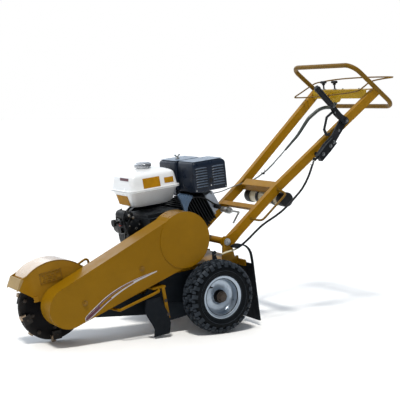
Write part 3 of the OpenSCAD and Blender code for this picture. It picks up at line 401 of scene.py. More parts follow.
# ------------------------------------------------------------------ carried CAD pieces
for node, mat in {
    "chassis": "gold", "cutter_arm": "gold", "hood": "goldworn_and_lit", "belt_guard": "gold", "guard_backplate": "gold", "guard_bolts": "weld",
    "axle": "iron", "bearing_housings": "iron", "belts": "rubber", "engine_block": "block", "cylinder": "black", "rocker_cover": "alloy",
    "recoil_housing": "black", "muffler": "iron", "carburettor": "alloy", "starter_motor": "black", "dipsticks": "plastic",
    "spark_plug": "plastic", "side_skirt": "rubber", "pivot_shaft": "zinc", "mast": "goldworn_and_lit", "canister_straps": "plastic",
    "control_panel": "goldpanel", "lever_bracket": "black", "clamp_barrel": "zinc", "brake_lever": "black", "lever_trigger": "black",
    "brake_arm": "black", "throttle_lever": "zinc", "brake_drum": "iron", "cutter_shaft": "steel", "driven_pulley": "iron",
    "cutter_disc": "disc", "cutter_teeth": "carbide", "crankshaft": "steel", "clutch_drum": "iron",
}.items():
    dress(node, mat)


# ------------------------------------------------------------------ tyres
def crown(v):
    v = abs(v)
    pts = [(0, 156.3), (24, 156.0), (38, 152.6), (45, 146.6), (51, 133.8), (51.9, 118)]
    for (a, ra), (b, rb) in zip(pts, pts[1:]):
        if v <= b:
            return ra + (rb - ra) * (v - a) / (b - a)
    return 118


def tyre(name, cv, body, node):
    bm = bm_new()
    half = [(77, 34), (79, 36.5), (84, 37.2), (88, 38.6), (92, 38.2), (97, 41.5), (104, 46), (108, 48), (109.5, 49.2), (111, 48.4), (118, 49.4),
            (126, 47.6), (132, 44.6), (137, 40), (140.5, 33), (142.6, 22), (143.2, 10)]
    prof = [(r, cv + v) for r, v in half] + [(143.4, cv)] + [(r, cv - v) for r, v in half[::-1]]
    add_lathe(bm, 0, 0, prof, 144, closed=True)
    pitch = 24

    def block(t0, t1, va, vb, ra, rb, base, skew=0.0):
        """tread block between angles t0, t1 and across va..vb; ra, rb are the outer radii at va and vb"""
        vs = []
        for lev in (0, 1):
            for t in (t0, t1):
                for v, r in ((va, ra), (vb, rb)):
                    tt = t + skew * (v - va) / (vb - va)
                    g = 0.09 * (t1 - t0)
                    tt += (g if t == t0 else -g) * lev
                    vv = v + (1.4 if v == min(va, vb) else -1.4) * lev
                    rad = (r if lev else r - base)
                    vs.append(bm.verts.new((rad * math.cos(tt), cv + vv, rad * math.sin(tt))))
        for q in ((0, 1, 3, 2), (4, 6, 7, 5), (0, 4, 5, 1), (2, 3, 7, 6), (0, 2, 6, 4), (1, 5, 7, 3)):
            bm.faces.new([vs[i] for i in q])

    def lug(a, b, outline):
        vs = []
        for tt, k in ((a, 0), (b, 1)):
            for r, v in outline:
                vs.append(bm.verts.new((r * math.cos(tt), cv + v, r * math.sin(tt))))
        n = len(outline)
        bm.faces.new(vs[:n])
        bm.faces.new(vs[n:][::-1])
        for i in range(n):
            bm.faces.new([vs[(i + 1) % n], vs[i], vs[n + i], vs[n + (i + 1) % n]])

    for k in range(pitch):
        t = 2 * math.pi * k / pitch
        d = 2 * math.pi / pitch
        block(t, t + d * 0.46, -14.5, -1.5, crown(14), crown(2), 14, d * 0.16)
        block(t + d * 0.5, t + d * 0.96, 1.5, 14.5, crown(2), crown(14), 14, -d * 0.16)
        block(t + d * 0.30, t + d * 0.74, -33, -18.5, crown(33), crown(18.5), 15, d * 0.1)
        block(t + d * 0.80, t + d * 1.24, 18.5, 33, crown(18.5), crown(33), 15, -d * 0.1)
        for s in (-1, 1):
            off = 0.0 if s < 0 else 0.5
            # shoulder lug that wraps onto the sidewall
            lug(t + d * (off - 0.04), t + d * (off + 0.42), [(crown(37.4), s * 37.4), (148.4, s * 44.6), (142, s * 48.4), (134, s * 51.4), (130, s * 51.4), (130, s * 45), (136, s * 38), (140, s * 34)])
            # short lug between
            lug(t + d * (off + 0.56), t + d * (off + 0.86), [(152.6, s * 37.2), (149.5, s * 41.8), (144, s * 45.6), (141, s * 46.4), (139, s * 40), (141, s * 34)])
    # moulded ribs round the bead
    for s in (-1, 1):
        for r in (96.5, 114):
            v = {96.5: 41.6, 114: 49.6}[r]
            add_lathe(bm, 0, 0, [(r - 0.8, cv + s * (v - 0.6)), (r - 0.5, cv + s * (v + 0.7)), (r + 0.5, cv + s * (v + 0.9)), (r + 0.8, cv + s * (v - 0.2))], 120)
    make(name, bm, BF, "tyre", body, [node], bevel=0.8, seg=1, angle=32)


tyre("near_knobby_tyre", -233, "near_wheel", "near_tyre")
tyre("far_knobby_tyre", 233, "far_wheel", "far_tyre")


# ------------------------------------------------------------------ rims
def rim(name, s, body, node):
    bm = bm_new()

    def q(pts):
        return [(r, s * (233 + v)) for r, v in pts]
    # pressed half with rolled flange, barrel step and dished disc, as one skin
    skin = [(85.5, 36.8), (88.5, 37.6), (91.0, 39.2), (91.3, 40.6), (89.8, 41.0), (86, 39.8), (80.5, 36.2), (77.6, 32.5), (76.4, 27), (75.6, 18),
            (74.6, 10), (72.4, 4.4), (68.6, 0.6), (63, -1.4), (55, -2.0), (46, -1.2), (38, 0.4), (34, 2.0), (31.6, 4.8), (30.6, 8.0), (28.6, 9.4), (24, 9.8)]
    add_lathe(bm, 0, 0, q(skin), 120)
    back = [(85.5, -36.8), (88.5, -37.6), (91.0, -39.2), (91.3, -40.6), (89.8, -41.0), (86, -39.8), (80.5, -36.2), (77.6, -32.5), (76.4, -27), (75.8, 0), (75.2, 14)]
    add_lathe(bm, 0, 0, q(back), 120)
    make(name + "_skin", bm, BF, "galv", body, [node], angle=50, solid=1.5, recalc=False)
    bm = bm_new()
    # hub barrel and bearing seat
    add_lathe(bm, 0, 0, [(15.1, s * 184), (22.6, s * 184), (23, s * 185), (23, s * 232), (28.6, s * 236), (29.4, s * 238), (29.4, s * 249), (28.2, s * 250.6), (24.4, s * 250.8), (23.8, s * 247.4), (18.0, s * 246.8), (15.1, s * 249.2)], 64, closed=True)
    make(name + "_hub", bm, BF, "black", body, (), bevel=0.4, seg=1)
    bm = bm_new()
    # valve stem in its grommet
    add_cyl(bm, (-35, s * (233 - 2), 44), (-0.12, s, 0.14), 5.8, 6.5, 20, 5.0)
    add_cyl(bm, (-35.6, s * (233 + 3), 44.6), (-0.12, s, 0.14), 3.4, 15, 16, 2.9)
    add_cyl(bm, (-37.2, s * (233 + 17), 46.4), (-0.12, s, 0.14), 3.7, 6, 12)
    make(name + "_valve", bm, BF, "plastic", body, (), bevel=0.3, seg=1)


rim("near_wheel_disc", -1, "near_wheel", "near_rim")
rim("far_wheel_disc", 1, "far_wheel", "far_rim")
for s, nm in ((-1, "near"), (1, "far")):
    bm = bm_new()
    # dust cap over the axle end
    add_lathe(bm, 0, 0, [(0.01, s * 279.6), (8, s * 279.4), (12, s * 277.8), (14.8, s * 274), (15.6, s * 268), (15.6, s * 260), (15.05, s * 259.6)], 48)
    make(nm + "_axle_cap", bm, BF, "rust", "frame", (), angle=40)

# ------------------------------------------------------------------ hood details
bm = bm_new()
# bent lip along the front edge, proud and faded
add_prism(bm, [(-807, 215.5), (-812.5, 218.6), (-819.6, 220.2), (-839.2, 179.4), (-834.6, 177.0), (-830.2, 179.2)], -100.6, 15.4)
make("hood_front_lip", bm, BF, "tan", "frame", (), bevel=1.0)
bm = bm_new()
# blank embossed plate on the side of the hood
u0, w0 = -716, 186
u0, w0 = -692, 208
R3 = Matrix.Translation((u0, 0, w0)) @ Matrix.Rotation(-math.radians(4), 4, "Y")
for x0, x1, z0, z1 in ((-48, 48, 18.5, 22), (-48, 48, -22, -18.5), (-48, -44.5, -22, 22), (44.5, 48, -22, 22)):
    add_box(bm, (x0, -102.4, z0), (x1, -99.8, z1), R3)
for i in range(3):
    for j in range(4 - i % 2):
        x = -38 + j * 21 + (i % 2) * 6
        add_box(bm, (x, -102.0, 7.6 - i * 11.6), (x + 15, -99.8, 13.2 - i * 11.6), R3)
make("hood_blank_plate", bm, BF, "weld", "frame", (), bevel=0.5)
bm = bm_new()
# weld beads where the side plates meet the rolled sheet
for v in (-99.6, 14.6):
    pts = [(CUT[0] + 190.6 * math.cos(math.radians(t)), v, CUT[1] + 190.6 * math.sin(math.radians(t))) for t in range(26, 133, 3)]
    add_tube(bm, pts, 1.6, 8, sub=2)
make("hood_welds", bm, BF, "weld", "frame", ())
bm = bm_new()
add_prism(bm, [(-114 + 120.05 * math.cos(math.radians(t)), 262 + 120.05 * math.sin(math.radians(t))) for t in range(60, 122, 2)]
          + [(-114 + 120.4 * math.cos(math.radians(t)), 262 + 120.4 * math.sin(math.radians(t))) for t in range(120, 58, -2)], -202.4, -110.6)
make("drum_top_coat", bm, BF, "goldgloss", "frame", (), angle=30)
bm = bm_new()
# polished coat on the rolled sheet
add_prism(bm, [(CUT[0] + 192.05 * math.cos(math.radians(t)), CUT[1] + 192.05 * math.sin(math.radians(t))) for t in range(36, 134, 2)]
          + [(CUT[0] + 192.45 * math.cos(math.radians(t)), CUT[1] + 192.45 * math.sin(math.radians(t))) for t in range(132, 34, -2)], -99.2, 14.2)
make("hood_top_coat", bm, BF, "goldgloss", "frame", (), angle=30)
bm = bm_new()
add_tube(bm, [(-541, -6, 203), (-531, -6, 209), (-519, -6, 216), (-505, -6, 222.5), (-494, -6, 226), (-486, -6, 225), (-480.5, -6, 219), (-479.5, -6, 208), (-481, -6, 194), (-486, -6, 174), (-490, -6, 157)], 4.9, 16)
make("hood_lift_rod", bm, BF, "gold", "frame", ["hood_handle"])

# ------------------------------------------------------------------ belt guard details
UP = [(-608, 33), (-589, 49), (-546, 76), (-503, 101), (-439, 126), (-354, 146), (-262, 158.6)]
LO = [(-607, 17), (-584, 25), (-541, 50), (-495, 77), (-431, 107), (-356, 132.5), (-262, 154.5)]


def ribbon(lo, hi, off, a=0.0, b=1.0, h0=None):
    """thin film band on the guard's face between two shares of the way from the lower to the upper edge"""
    bmx = bm_new()
    P1 = smooth_path([(u, 0, w) for u, w in LO], 8)
    P2 = smooth_path([(u, 0, w) for u, w in UP], 8)
    n = len(P1)
    i0, i1 = int(a * (n - 1)), int(b * (n - 1))
    L1 = [p1.lerp(p2, lo) for p1, p2 in zip(P1, P2)][i0:i1 + 1]
    L2 = [p1.lerp(p2, hi) for p1, p2 in zip(P1, P2)][i0:i1 + 1]
    ring = L1 + L2[::-1]
    add_prism(bmx, [(p.x, p.z) for p in ring], -200.4 - off, -199.8 - off)
    return bmx


make("stripe_base", ribbon(0.0, 0.98, 0.0), BF, "film", "frame", (), flat=True)
make("stripe_dark", ribbon(0.14, 0.62, 0.3, 0.03, 0.55), BF, "maroon", "frame", (), flat=True)
make("stripe_mid", ribbon(0.66, 0.84, 0.3, 0.05, 0.94), BF, "maroon", "frame", (), flat=True)
make("stripe_gap", ribbon(0.30, 0.62, 0.35, 0.36, 0.8), BF, "gold", "frame", (), flat=True)
bm = bm_new()
# weld seam where the drum cover meets the arm cover
for v in (-199.4,):
    pts = [(-114 + 120.4 * math.cos(math.radians(t)), v - 0.4, 262 + 120.4 * math.sin(math.radians(t))) for t in range(118, 258, 4)]
    add_tube(bm, pts, 0.7, 8, sub=2)
make("guard_weld", bm, BF, "gold", "frame", ())
bm = bm_new()
# screws along the rim of the guard, into the backing plate, are not drawn: the loops below are empty
for (u, w) in ((-700, 168.2), (-560, 208.6), (-420, 255.2), (-300, 295.0)):
    pass
for (u, w, ax) in ((-640, -1, (0.1, 0, -1)), (-470, 44, (0.33, 0, -0.94)), (-300, 115, (0.33, 0, -0.94))):
    pass
bm.free()

# ------------------------------------------------------------------ rods and handle
bm = bm_new()
la, lv, cr = 318.5, 233, 55
pts = []
for (cx, cy, a0) in ((la / 2 - cr, lv - cr, 90), (la / 2 - cr, -lv + cr, 0), (-la / 2 + cr, -lv + cr, -90), (-la / 2 + cr, lv - cr, -180)):
    for k in range(11):
        t = math.radians(a0 - 90 * k / 10)
        pts.append((cx + cr * math.cos(t), cy + cr * math.sin(t), 0))
add_tube(bm, pts, 10.9, 24, closed=True, sub=1)
make("handle_tube_loop", bm, LF, "goldtube", "mast", ["handlebar"], angle=60)
bm = bm_new()
BAIL = [(1107, -280, -5), (1121, -100, -13), (1119, 60, -14), (1105, 165, -10), (1076, 214, 3), (1062, 245, 7), (1036, 262, 9), (980, 278, 15),
        (938, 281, 22), (940, 255, 17), (947, 175, 13), (956, 90, 12), (966, 0, 12), (980, -110, 12), (988, -165, 18), (1010, -190, 24), (1045, -202, 22), (1080, -240, 8)]
HN = (960, 12)
add_cyl(bm, (960, 38, 12), (0, 1, 0), 6, 32, 28)
add_tube(bm, BAIL, 3.4, 14, closed=True, sub=4)
make("bail_rod", bm, MF, "goldtube", "bail", ["bail"], angle=60)
bm = bm_new()
add_tube(bm, [(353, -152, -22), (353, -170, -27), (352, -188, -32), (346, -203, -37), (332, -208, -39), (264, -208, -39), (196, -208, -39), (181, -203, -38), (172, -188, -33.5), (167, -170, -26), (164, -152, -20)], 4.9, 16)
add_cyl(bm, (353, -153.2, -22), (0, -1, -0.2), 7, 2.2, 20, 5)
add_cyl(bm, (164, -153.2, -20), (0, -1, -0.3), 7, 2.2, 20, 5)
make("cable_guide_rod", bm, MF, "goldtube", "mast", ["guide_rod"], angle=60)
bm = bm_new()
add_tube(bm, [(-458, -96, 27), (-458, -140, 29), (-457, -190, 31), (-454.5, -209, 33), (-444, -217, 38), (-400, -217, 47.4), (-340, -217, 60), (-282, -217, 72.5), (-269, -211, 76), (-266.5, -196, 77), (-266.5, -176, 77.6), (-267, -160, 78)], 5.9, 16)
make("tie_down_bar", bm, BF, "gold", "frame", ["tie_down_rod"], angle=60)

# ------------------------------------------------------------------ fuel tank
bm = bm_new()
lowr = []
for w, gu, gv, r in ((396, 20, 22, 16), (397, 14, 16, 20), (401, 7.5, 9, 22), (408, 2.6, 3.6, 23), (430, 1.0, 1.4, 23), (463, 0, 0, 23)):
    k = (w - 396) / 67
    lowr.append(rrect(-228 - 16 * k + gu, 8 - 18 * k + gv, -30 + 19 * k - gu, 166 + 12 * k - gv, r, w))
lowr.append(rrect(-248, -14, -7, 182, 24, 464.5))
lowr.append(rrect(-255.6, -19.6, -0.4, 187.6, 28, 465.4))
lowr.append(rrect(-256, -20, 0, 188, 28, 467.4))
lowr.append(rrect(-255.2, -19.2, -0.8, 187.2, 28, 469.4))
lowr.append(rrect(-250, -15, -6, 183, 26, 469.8))
add_loft(bm, lowr)
# moulded ribs in the lower half
for v in (20, 150):
    add_box(bm, (-196, v - 2, 398), (-60, v + 2, 402))
make("tank_bottom_half", bm, BF, "white", "frame", ["tank_lower"], angle=50)
bm = bm_new()
up = [rrect(-250, -15, -6, 183, 26, 470.2), rrect(-255.2, -19.2, -0.8, 187.2, 28, 470.6), rrect(-256, -20, 0, 188, 28, 472.2), rrect(-255.4, -19.4, -0.6, 187.4, 28, 473.8), rrect(-248.5, -13.4, -7.5, 181.4, 25, 474.4)]
for w, g, r in ((478, 0, 24), (500, 3.2, 24), (522, 6.6, 25), (530, 8.8, 26), (534.5, 12, 27), (538.6, 17.5, 28), (542, 25, 28), (547.5, 42, 26), (551.5, 60, 24), (554.5, 74, 20), (556, 86, 14)):
    up.append(rrect(-247 + g * 0.95, -12 + g * 0.92, -9 - g * 0.85, 180 - g * 0.92, r, w))
add_loft(bm, up)
# filler neck
add_cyl(bm, (-128, 84, 553), (0, 0, 1), 31, 4, 48, 29)
add_cyl(bm, (-128, 84, 557), (0, 0, 1), 29, 4.4, 48)
make("tank_top_half", bm, BF, "white", "frame", ["tank_upper"], angle=50)
bm = bm_new()
# knurled filler cap
n = 72
ring = []
for w, r, kn in ((560.4, 35.2, 0), (561.2, 36.6, 1), (573, 36.6, 1), (575, 35.6, 1), (576.4, 33.4, 0), (577.2, 30.4, 0), (579.4, 29.4, 0), (580, 27, 0), (579.2, 22, 0), (578.6, 6, 0)):
    row = []
    for k in range(n * 2):
        t = 2 * math.pi * k / (n * 2)
        rr = r + (0.55 * (1 if (k // 2) % 2 else -0.6)) * kn
        row.append((-128 + rr * math.cos(t), 84 + rr * math.sin(t), w))
    ring.append(row)
add_loft(bm, ring)
make("filler_cap_knurled", bm, BF, "chrome", "cap", ["fuel_cap"], angle=40)


# blank film panels on the tank: near side (two on top half), front (one below, one small maroon)
def panel(name, pts, mat, off):
    """four corners in the body frame; film stands off mm proud along its own normal"""
    bmx = bm_new()
    P4 = [Vector(p) for p in pts]
    nn = (P4[1] - P4[0]).cross(P4[3] - P4[0]).normalized() * off
    a = [bmx.verts.new(p + nn) for p in P4]
    b = [bmx.verts.new(p - nn) for p in P4]
    bmx.faces.new(a)
    bmx.faces.new(b[::-1])
    for i in range(4):
        bmx.faces.new([a[(i + 1) % 4], a[i], b[i], b[(i + 1) % 4]])
    make(name, bmx, BF, mat, "frame", (), flat=True)


def near_v(w):
    """near face of the upper tank half at height w"""
    g = 6.6 * (w - 478) / 44
    return -12 + g * 0.92


def near_panel(name, u1, u2, w1, w2, lean, mat):
    panel(name, [(u1, near_v(w1) - 0.5, w1), (u2, near_v(w1 + lean) - 0.5, w1 + lean), (u2, near_v(w2 + lean) - 0.5, w2 + lean), (u1, near_v(w2) - 0.5, w2)], mat, 0.5)


near_panel("tank_panel_a", -184, -101, 477.5, 521, 0, "goldfilm")
near_panel("tank_panel_b", -79, -34, 487, 511, 0, "goldfilm")


def front_u(w):
    if w > 474:
        g = 6.6 * (w - 478) / 44
        return -247 + g * 0.95
    k = (w - 396) / 67
    return -228 - 16 * k + 1.0


panel("tank_panel_c", [(front_u(406) - 0.9, 146, 406), (front_u(406) - 0.9, 40, 406), (front_u(450) - 0.9, 40, 450), (front_u(450) - 0.9, 146, 450)], "goldfilm", 0.5)
panel("tank_panel_d", [(front_u(517) - 0.9, 92, 517), (front_u(517) - 0.9, 14, 517), (front_u(529) - 0.9, 14, 529), (front_u(529) - 0.9, 92, 529)], "maroon", 0.5)

# ------------------------------------------------------------------ muffler guard
bm = bm_new()
rings = []
for w, g, r in ((433.2, 1.2, 10), (434.4, 0.2, 11), (436, 0, 12), (500, 0, 12), (544, 0.2, 13), (550, 0.8, 13), (555, 2.2, 13), (559, 4.4, 13), (562, 7.2, 13), (564.2, 10.6, 13), (565.5, 14.6, 12), (566, 20, 10), (566.2, 34, 8)):
    rings.append(rrect(18 + g * 0.8, -100 + g, 188 - g * 1.5, 38.6 - g * 0.15, min(r, 9), w, 6))
add_loft(bm, rings)
make("muffler_shell", bm, BF, "bluecoat", "frame", ["muffler_guard"], angle=40)


def louvre(bmx, u1, u2, v, w, side=-1, h=5.6):
    """raised slot hood: a half-round lip over a dark slit, pressed out of the face v"""
    n = 12
    h = 7.4
    rows = []
    for i in range(n + 1):
        k = i / n
        u = u1 + (u2 - u1) * k
        e = math.sin(math.pi * min(1, max(0, k))) ** 0.35 if 0 < k < 1 else 0
        row = []
        for a in range(5):
            t = math.radians(90 * a / 4)
            row.append(bmx.verts.new((u, v + side * (4.4 * e * math.sin(t)) - side * 0.2, w + 1.2 + h * e * math.cos(t) * 0.8)))
        rows.append(row)
    for a, b in zip(rows, rows[1:]):
        for i in range(4):
            bmx.faces.new([a[i], a[i + 1], b[i + 1], b[i]])


bm = bm_new()
bd = bm_new()
for r in range(8):
    w = 452 + r * 11.5
    for u1, u2 in ((27, 90), (112, 176)):
        if 470 < w < 494 and u1 == 30:
            u2 = 84
        if 470 < w < 494 and u1 == 114:
            u1 = 120
        louvre(bm, u1, u2, -100.0, w)
        add_box(bd, (u1 + 2, -100.3, w - 3.4), (u2 - 2, -99.6, w + 1.4))
    # rear face
    w2 = w
    rows = []
for r in range(8):
    w = 452 + r * 11.5
    for v1, v2 in ((-80, -36), (-26, 18)):
        nseg = 8
        rows = []
        for i in range(nseg + 1):
            k = i / nseg
            e = math.sin(math.pi * k) ** 0.35 if 0 < k < 1 else 0
            rows.append([bm.verts.new((188 - 0.2 + 2.9 * e * math.sin(math.radians(90 * a / 4)) * 0.62, v1 + (v2 - v1) * k, w + 4.5 * e * math.cos(math.radians(90 * a / 4)))) for a in range(5)])
        for a, b in zip(rows, rows[1:]):
            for i in range(4):
                bm.faces.new([a[i], a[i + 1], b[i + 1], b[i]])
        add_box(bd, (187.6, v1 + 2, w - 3.0), (188.2, v2 - 2, w + 0.6))
# the louvre lips carry the lighter louvre material: painted highlight on the lips
make("muffler_louvres", bm, BF, "louvre", "frame", (), angle=60)
dark_slot = material("slot_shadow", (0.004, 0.004, 0.005), 0.8, 0, 0.2, 30, 0.05)
make("muffler_slots", bd, BF, dark_slot, "frame", (), flat=True)
bm = bm_new()
# outlet with its ring, and the guard's screws
add_lathe(bm, 102, 478, [(15.5, -99.6), (15.2, -102.6), (12.6, -103.4), (11.4, -102.6), (11.2, -96)], 40)
make("muffler_outlet_ring", bm, BF, "bluecoat", "frame", ())
bm = bm_new()
add_cyl(bm, (102, -100.4, 478), (0, 1, 0), 11.4, 1.0, 32)
make("muffler_outlet_dark", bm, BF, dark_slot, "frame", ())
bm = bm_new()
for (u, v, w, ax) in ((102, -100.2, 456, (0, -1, 0)), (26, -100.2, 441, (0, -1, 0)), (178, -100.2, 441, (0, -1, 0)), (60, -30, 565.6, (0, 0, 1)), (150, -30, 565.6, (0, 0, 1))):
    if ax[2]:
        add_cyl(bm, (u, v, w - 0.8), ax, 4, 1.6, 6)
    else:
        add_bolt(bm, (u, v, w), ax, 6.5, 2.2, False)
make("muffler_screws", bm, BF, "zinc", "frame", (), bevel=0.3, seg=1)

# ------------------------------------------------------------------ air cleaner
bm = bm_new()
rings = []
for w, g, r in ((436.2, 1.5, 18), (437.4, 0.3, 20), (449, 0, 20), (451.6, 1.2, 20), (452, 5, 20), (452.6, 5, 20), (453, 1.5, 22), (455, 1.0, 22), (470, 1.4, 22), (520, 2.8, 20), (541, 3.4, 18), (551, 3.8, 18), (556, 4.8, 18), (560.5, 7.0, 18), (564, 10.2, 17), (565.6, 14.6, 16), (566.6, 20, 14), (567.2, 28, 12), (567.4, 42, 8)):
    rings.append(rrect(6 + g, 39.2 + g * 0.12, 152 - g, 192 - g, min(r, 8), w, 6))
add_loft(bm, rings)
for k in range(5):
    u = 30 + 24 * k
    add_box(bm, (u - 2, 50, 541), (u + 2, 60, 551))
make("air_filter_cover", bm, BF, "bluecoat", "frame", ["air_cleaner"], angle=45)
bm = bm_new()
# lighter blue skin over the flat tops of the guard and the lid: painted sky reflection on the top faces, with dark dirt
# spots
add_loft(bm, [rrect(26, -92, 180, 37.6, 10, 566.25, 6), rrect(26, -92, 180, 37.6, 10, 566.75, 6)])
add_loft(bm, [rrect(15, 41, 143, 182, 10, 567.45, 6), rrect(15, 41, 143, 182, 10, 567.9, 6)])
make("guard_top_painted_reflection", bm, BF, "bluetop", "frame", (), angle=30)
bm = bm_new()
# wing nut
add_cyl(bm, (66, 112, 569), (0, 0, 1), 10.4, 3, 28, 9.6)
add_cyl(bm, (66, 112, 572), (0, 0, 1), 5.6, 9, 20, 4.4)
for s in (-1, 1):
    add_tube(bm, [(66, 112, 575), (66 + s * 7, 112, 581), (66 + s * 12.6, 112, 587.5)], lambda t: 2.2 + 1.8 * t, 10, sub=5)
make("air_filter_wing_nut", bm, BF, "zinc", "frame", (), angle=50)

# ------------------------------------------------------------------ engine dressing
bm = bm_new()
# silver cooling shroud curving down over the cylinder, near side
SH = [(-66, 437), (-52, 443), (-20, 434), (14, 421), (2, 406), (-10, 392), (-19, 376), (-26, 352), (-44, 352), (-47, 372), (-51, 392), (-56, 410), (-63, 424)]
add_prism(bm, SH, -92, -80)
make("cooling_shroud", bm, BF, "shroud", "frame", (), bevel=5.0, seg=4)
bm = bm_new()
# head bolts, side cover bolts
for (x, z) in ((250, -50), (250, 38), (286, -44), (286, 32)):
    add_cyl(bm, (x - 12 if x > 260 else x - 14, -62 if x < 260 else -54, z), (0, -1, 0), 5, 3.4, 6)
make("head_bolts", bm, EF, "bolt", "frame", (), bevel=0.4, seg=1)
bm = bm_new()
for k in range(6):
    t = 2 * math.pi * (k + 0.5) / 6
    add_bolt(bm, (CRK[0] + 82 * math.cos(t), -86.2, CRK[1] + 82 * math.sin(t)), (0, -1, 0), 8, 4)
for (u, v) in ((-214, -50), (-214, 108), (-5, -50), (-5, 108)):
    add_bolt(bm, (u, v, 151), (0, 0, 1), 11, 6)
make("cover_bolts", bm, BF, "bolt", "frame", (), bevel=0.4, seg=1)
bm = bm_new()
# spark plug lead and breather hose
A = EF.inverted() @ BF
add_tube(bm, [(262, -86, -28), (262, -94, -27), (256, -99, -18), (240, -98, 6), (222, -94, 40), (200, -90, 66), (176, -84, 78), (150, -74, 82)], 3.4, 12)
add_cyl(bm, (262, -56, -28), (0, -1, 0), 10, 3, 24)
add_cyl(bm, (262, -68, -28), (0, -1, 0), 11.2, 2.6, 28)
add_cyl(bm, (262, -74, -28), (0, -1, 0), 11.2, 2.6, 28)
make("spark_lead", bm, EF, "plastic", "frame", (), angle=60)
bm = bm_new()
add_tube(bm, [(-60, 96, 371), (-44, 92, 378), (-20, 96, 392), (8, 112, 402), (34, 120, 412)], 4.6, 12)
add_tube(bm, [(-214, 60, 398), (-232, 58, 392), (-246, 56, 372), (-250, 48, 350), (-256, 34, 330)], 3.6, 12)
add_tube(bm, [(-262, -16, 372), (-276, -20, 352), (-286, -14, 322), (-288, 4, 296), (-280, 26, 276), (-268, 44, 262), (-240, 52, 252), (-214, 56, 240)], 4.2, 12)
add_tube(bm, [(-276, 6, 392), (-288, 0, 380), (-296, -8, 356), (-292, -14, 330), (-282, -18, 300), (-268, -16, 270), (-250, -10, 244), (-226, -6, 222), (-214, -4, 204)], 3.4, 12)
add_tube(bm, [(-250, 90, 392), (-272, 92, 382), (-284, 84, 360), (-288, 66, 336), (-284, 56, 312)], 3.0, 12)
make("engine_hoses", bm, BF, "plastic", "frame", (), angle=60)
bm = bm_new()
# solenoid, relay box, terminals and starter end bell
add_lathe(bm, -266, 372, [(0.01, -18), (6, -18), (12, -16.6), (13, -14), (19.4, -8), (20.6, 0), (20.6, 84), (17, 88), (0.01, 88)], 40)
add_lathe(bm, -254, 318, [(0.01, -27), (8, -27), (22, -25), (33, -22.4), (36.6, -18), (36.8, -6), (35.4, -5), (35.4, 16), (36.6, 17), (36.6, 104), (34, 112), (28.6, 114), (28.4, 128.6), (0.01, 129)], 56)
for (u, v, w) in ((-276, -16, 378), (-258, -16, 366)):
    add_cyl(bm, (u, v, w), (0, -1, 0), 3.2, 11, 14)
add_box(bm, (-300, 18, 300), (-270, 46, 322))
add_box(bm, (-306, -2, 338), (-284, 16, 356))
make("starter_bells", bm, BF, "black", "frame", (), bevel=0.8, seg=2, angle=40)
bm = bm_new()
for (u, v, w) in ((-276, -25, 378), (-258, -25, 366)):
    add_bolt(bm, (u, v, w), (0, -1, 0), 7, 3, True)
for k in range(3):
    t = 2 * math.pi * k / 3 + 0.5
    add_bolt(bm, (-254 + 27 * math.cos(t), -22.5, 318 + 27 * math.sin(t)), (0, -1, 0), 6, 3, False)
add_lathe(bm, -205 - 44, 318, [(3, -28), (5, -28.4), (5, -27)], 20)
make("starter_hardware", bm, BF, "zinc", "frame", (), bevel=0.3, seg=1)
bm = bm_new()
# red boot
add_cyl(bm, (-290, 40, 328), (-0.3, 0, 1), 5.2, 12, 16, 4)
make("battery_boot", bm, BF, "redplastic", "frame", (), bevel=0.6)
bm = bm_new()
# fluted knob on the stem in front of the engine
n = 60
rows = []
for u, r, kn in ((-312, 13.6, 0), (-313, 14.6, 1), (-321.6, 14.6, 1), (-323, 13.4, 0), (-323.8, 10, 0)):
    rows.append([(u, 44 + (r + kn * 0.8 * (1 if (k // 3) % 2 else -0.6)) * math.cos(2 * math.pi * k / n), 345 + (r + kn * 0.8 * (1 if (k // 3) % 2 else -0.6)) * math.sin(2 * math.pi * k / n)) for k in range(n)])
add_loft(bm, rows)
make("engine_knob", bm, BF, "plastic", "frame", (), angle=40)
bm = bm_new()
# oil filler caps, drain bolt
for s in (-1, 1):
    u0 = 8 if s > 0 else -228
    add_cyl(bm, (u0, -52, 186), (s, 0, 0), 16, 3, 36, 14.6)
add_bolt(bm, (-60, -86.2, 160), (0, -1, 0), 14, 8)
make("oil_caps", bm, BF, "plastic", "frame", (), bevel=0.6)

# recoil starter grip: moulded handle on its rope
bm = bm_new()
RF = BF @ Matrix.Translation((-0.110, 0.205, 0.267)) @ Matrix.Rotation(-math.radians(130), 4, "Y")
rows = []
for z, rx, ry in ((-22, 5, 5), (-21, 7.4, 6.6), (-16, 8.8, 7.8), (-6, 8.0, 7.2), (0, 8.4, 7.8), (6, 8.0, 7.2), (16, 8.8, 7.8), (21, 7.4, 6.6), (22, 5, 5)):
    rows.append([(92 + rx * math.cos(2 * math.pi * k / 28), ry * math.sin(2 * math.pi * k / 28), z) for k in range(28)])
add_loft(bm, rows)
add_cyl(bm, (74, 0, 0), (1, 0, 0), 5.2, 12, 24, 7)
make("recoil_grip", bm, RF, "plastic", "starter", ["recoil_handle"], angle=40)
bm = bm_new()
add_tube(bm, [(-60, 0, 0), (0, 0, 0), (40, 0, 0), (76, 0, 0)], 2.3, 10, sub=2)
make("recoil_rope", bm, RF, "cream", "starter", ())

# ------------------------------------------------------------------ rubber flaps
def sheet(name, rows, th, node=None, mat="rubber", body="frame"):
    """rows of points across the sheet, top to bottom"""
    bmx = bm_new()
    V = [[bmx.verts.new(p) for p in r] for r in rows]
    for a, b in zip(V, V[1:]):
        for k in range(len(a) - 1):
            bmx.faces.new([a[k], a[k + 1], b[k + 1], b[k]])
    return make(name, bmx, BF, mat, body, [node] if node else (), angle=60, solid=th, recalc=False, bevel=0.6)


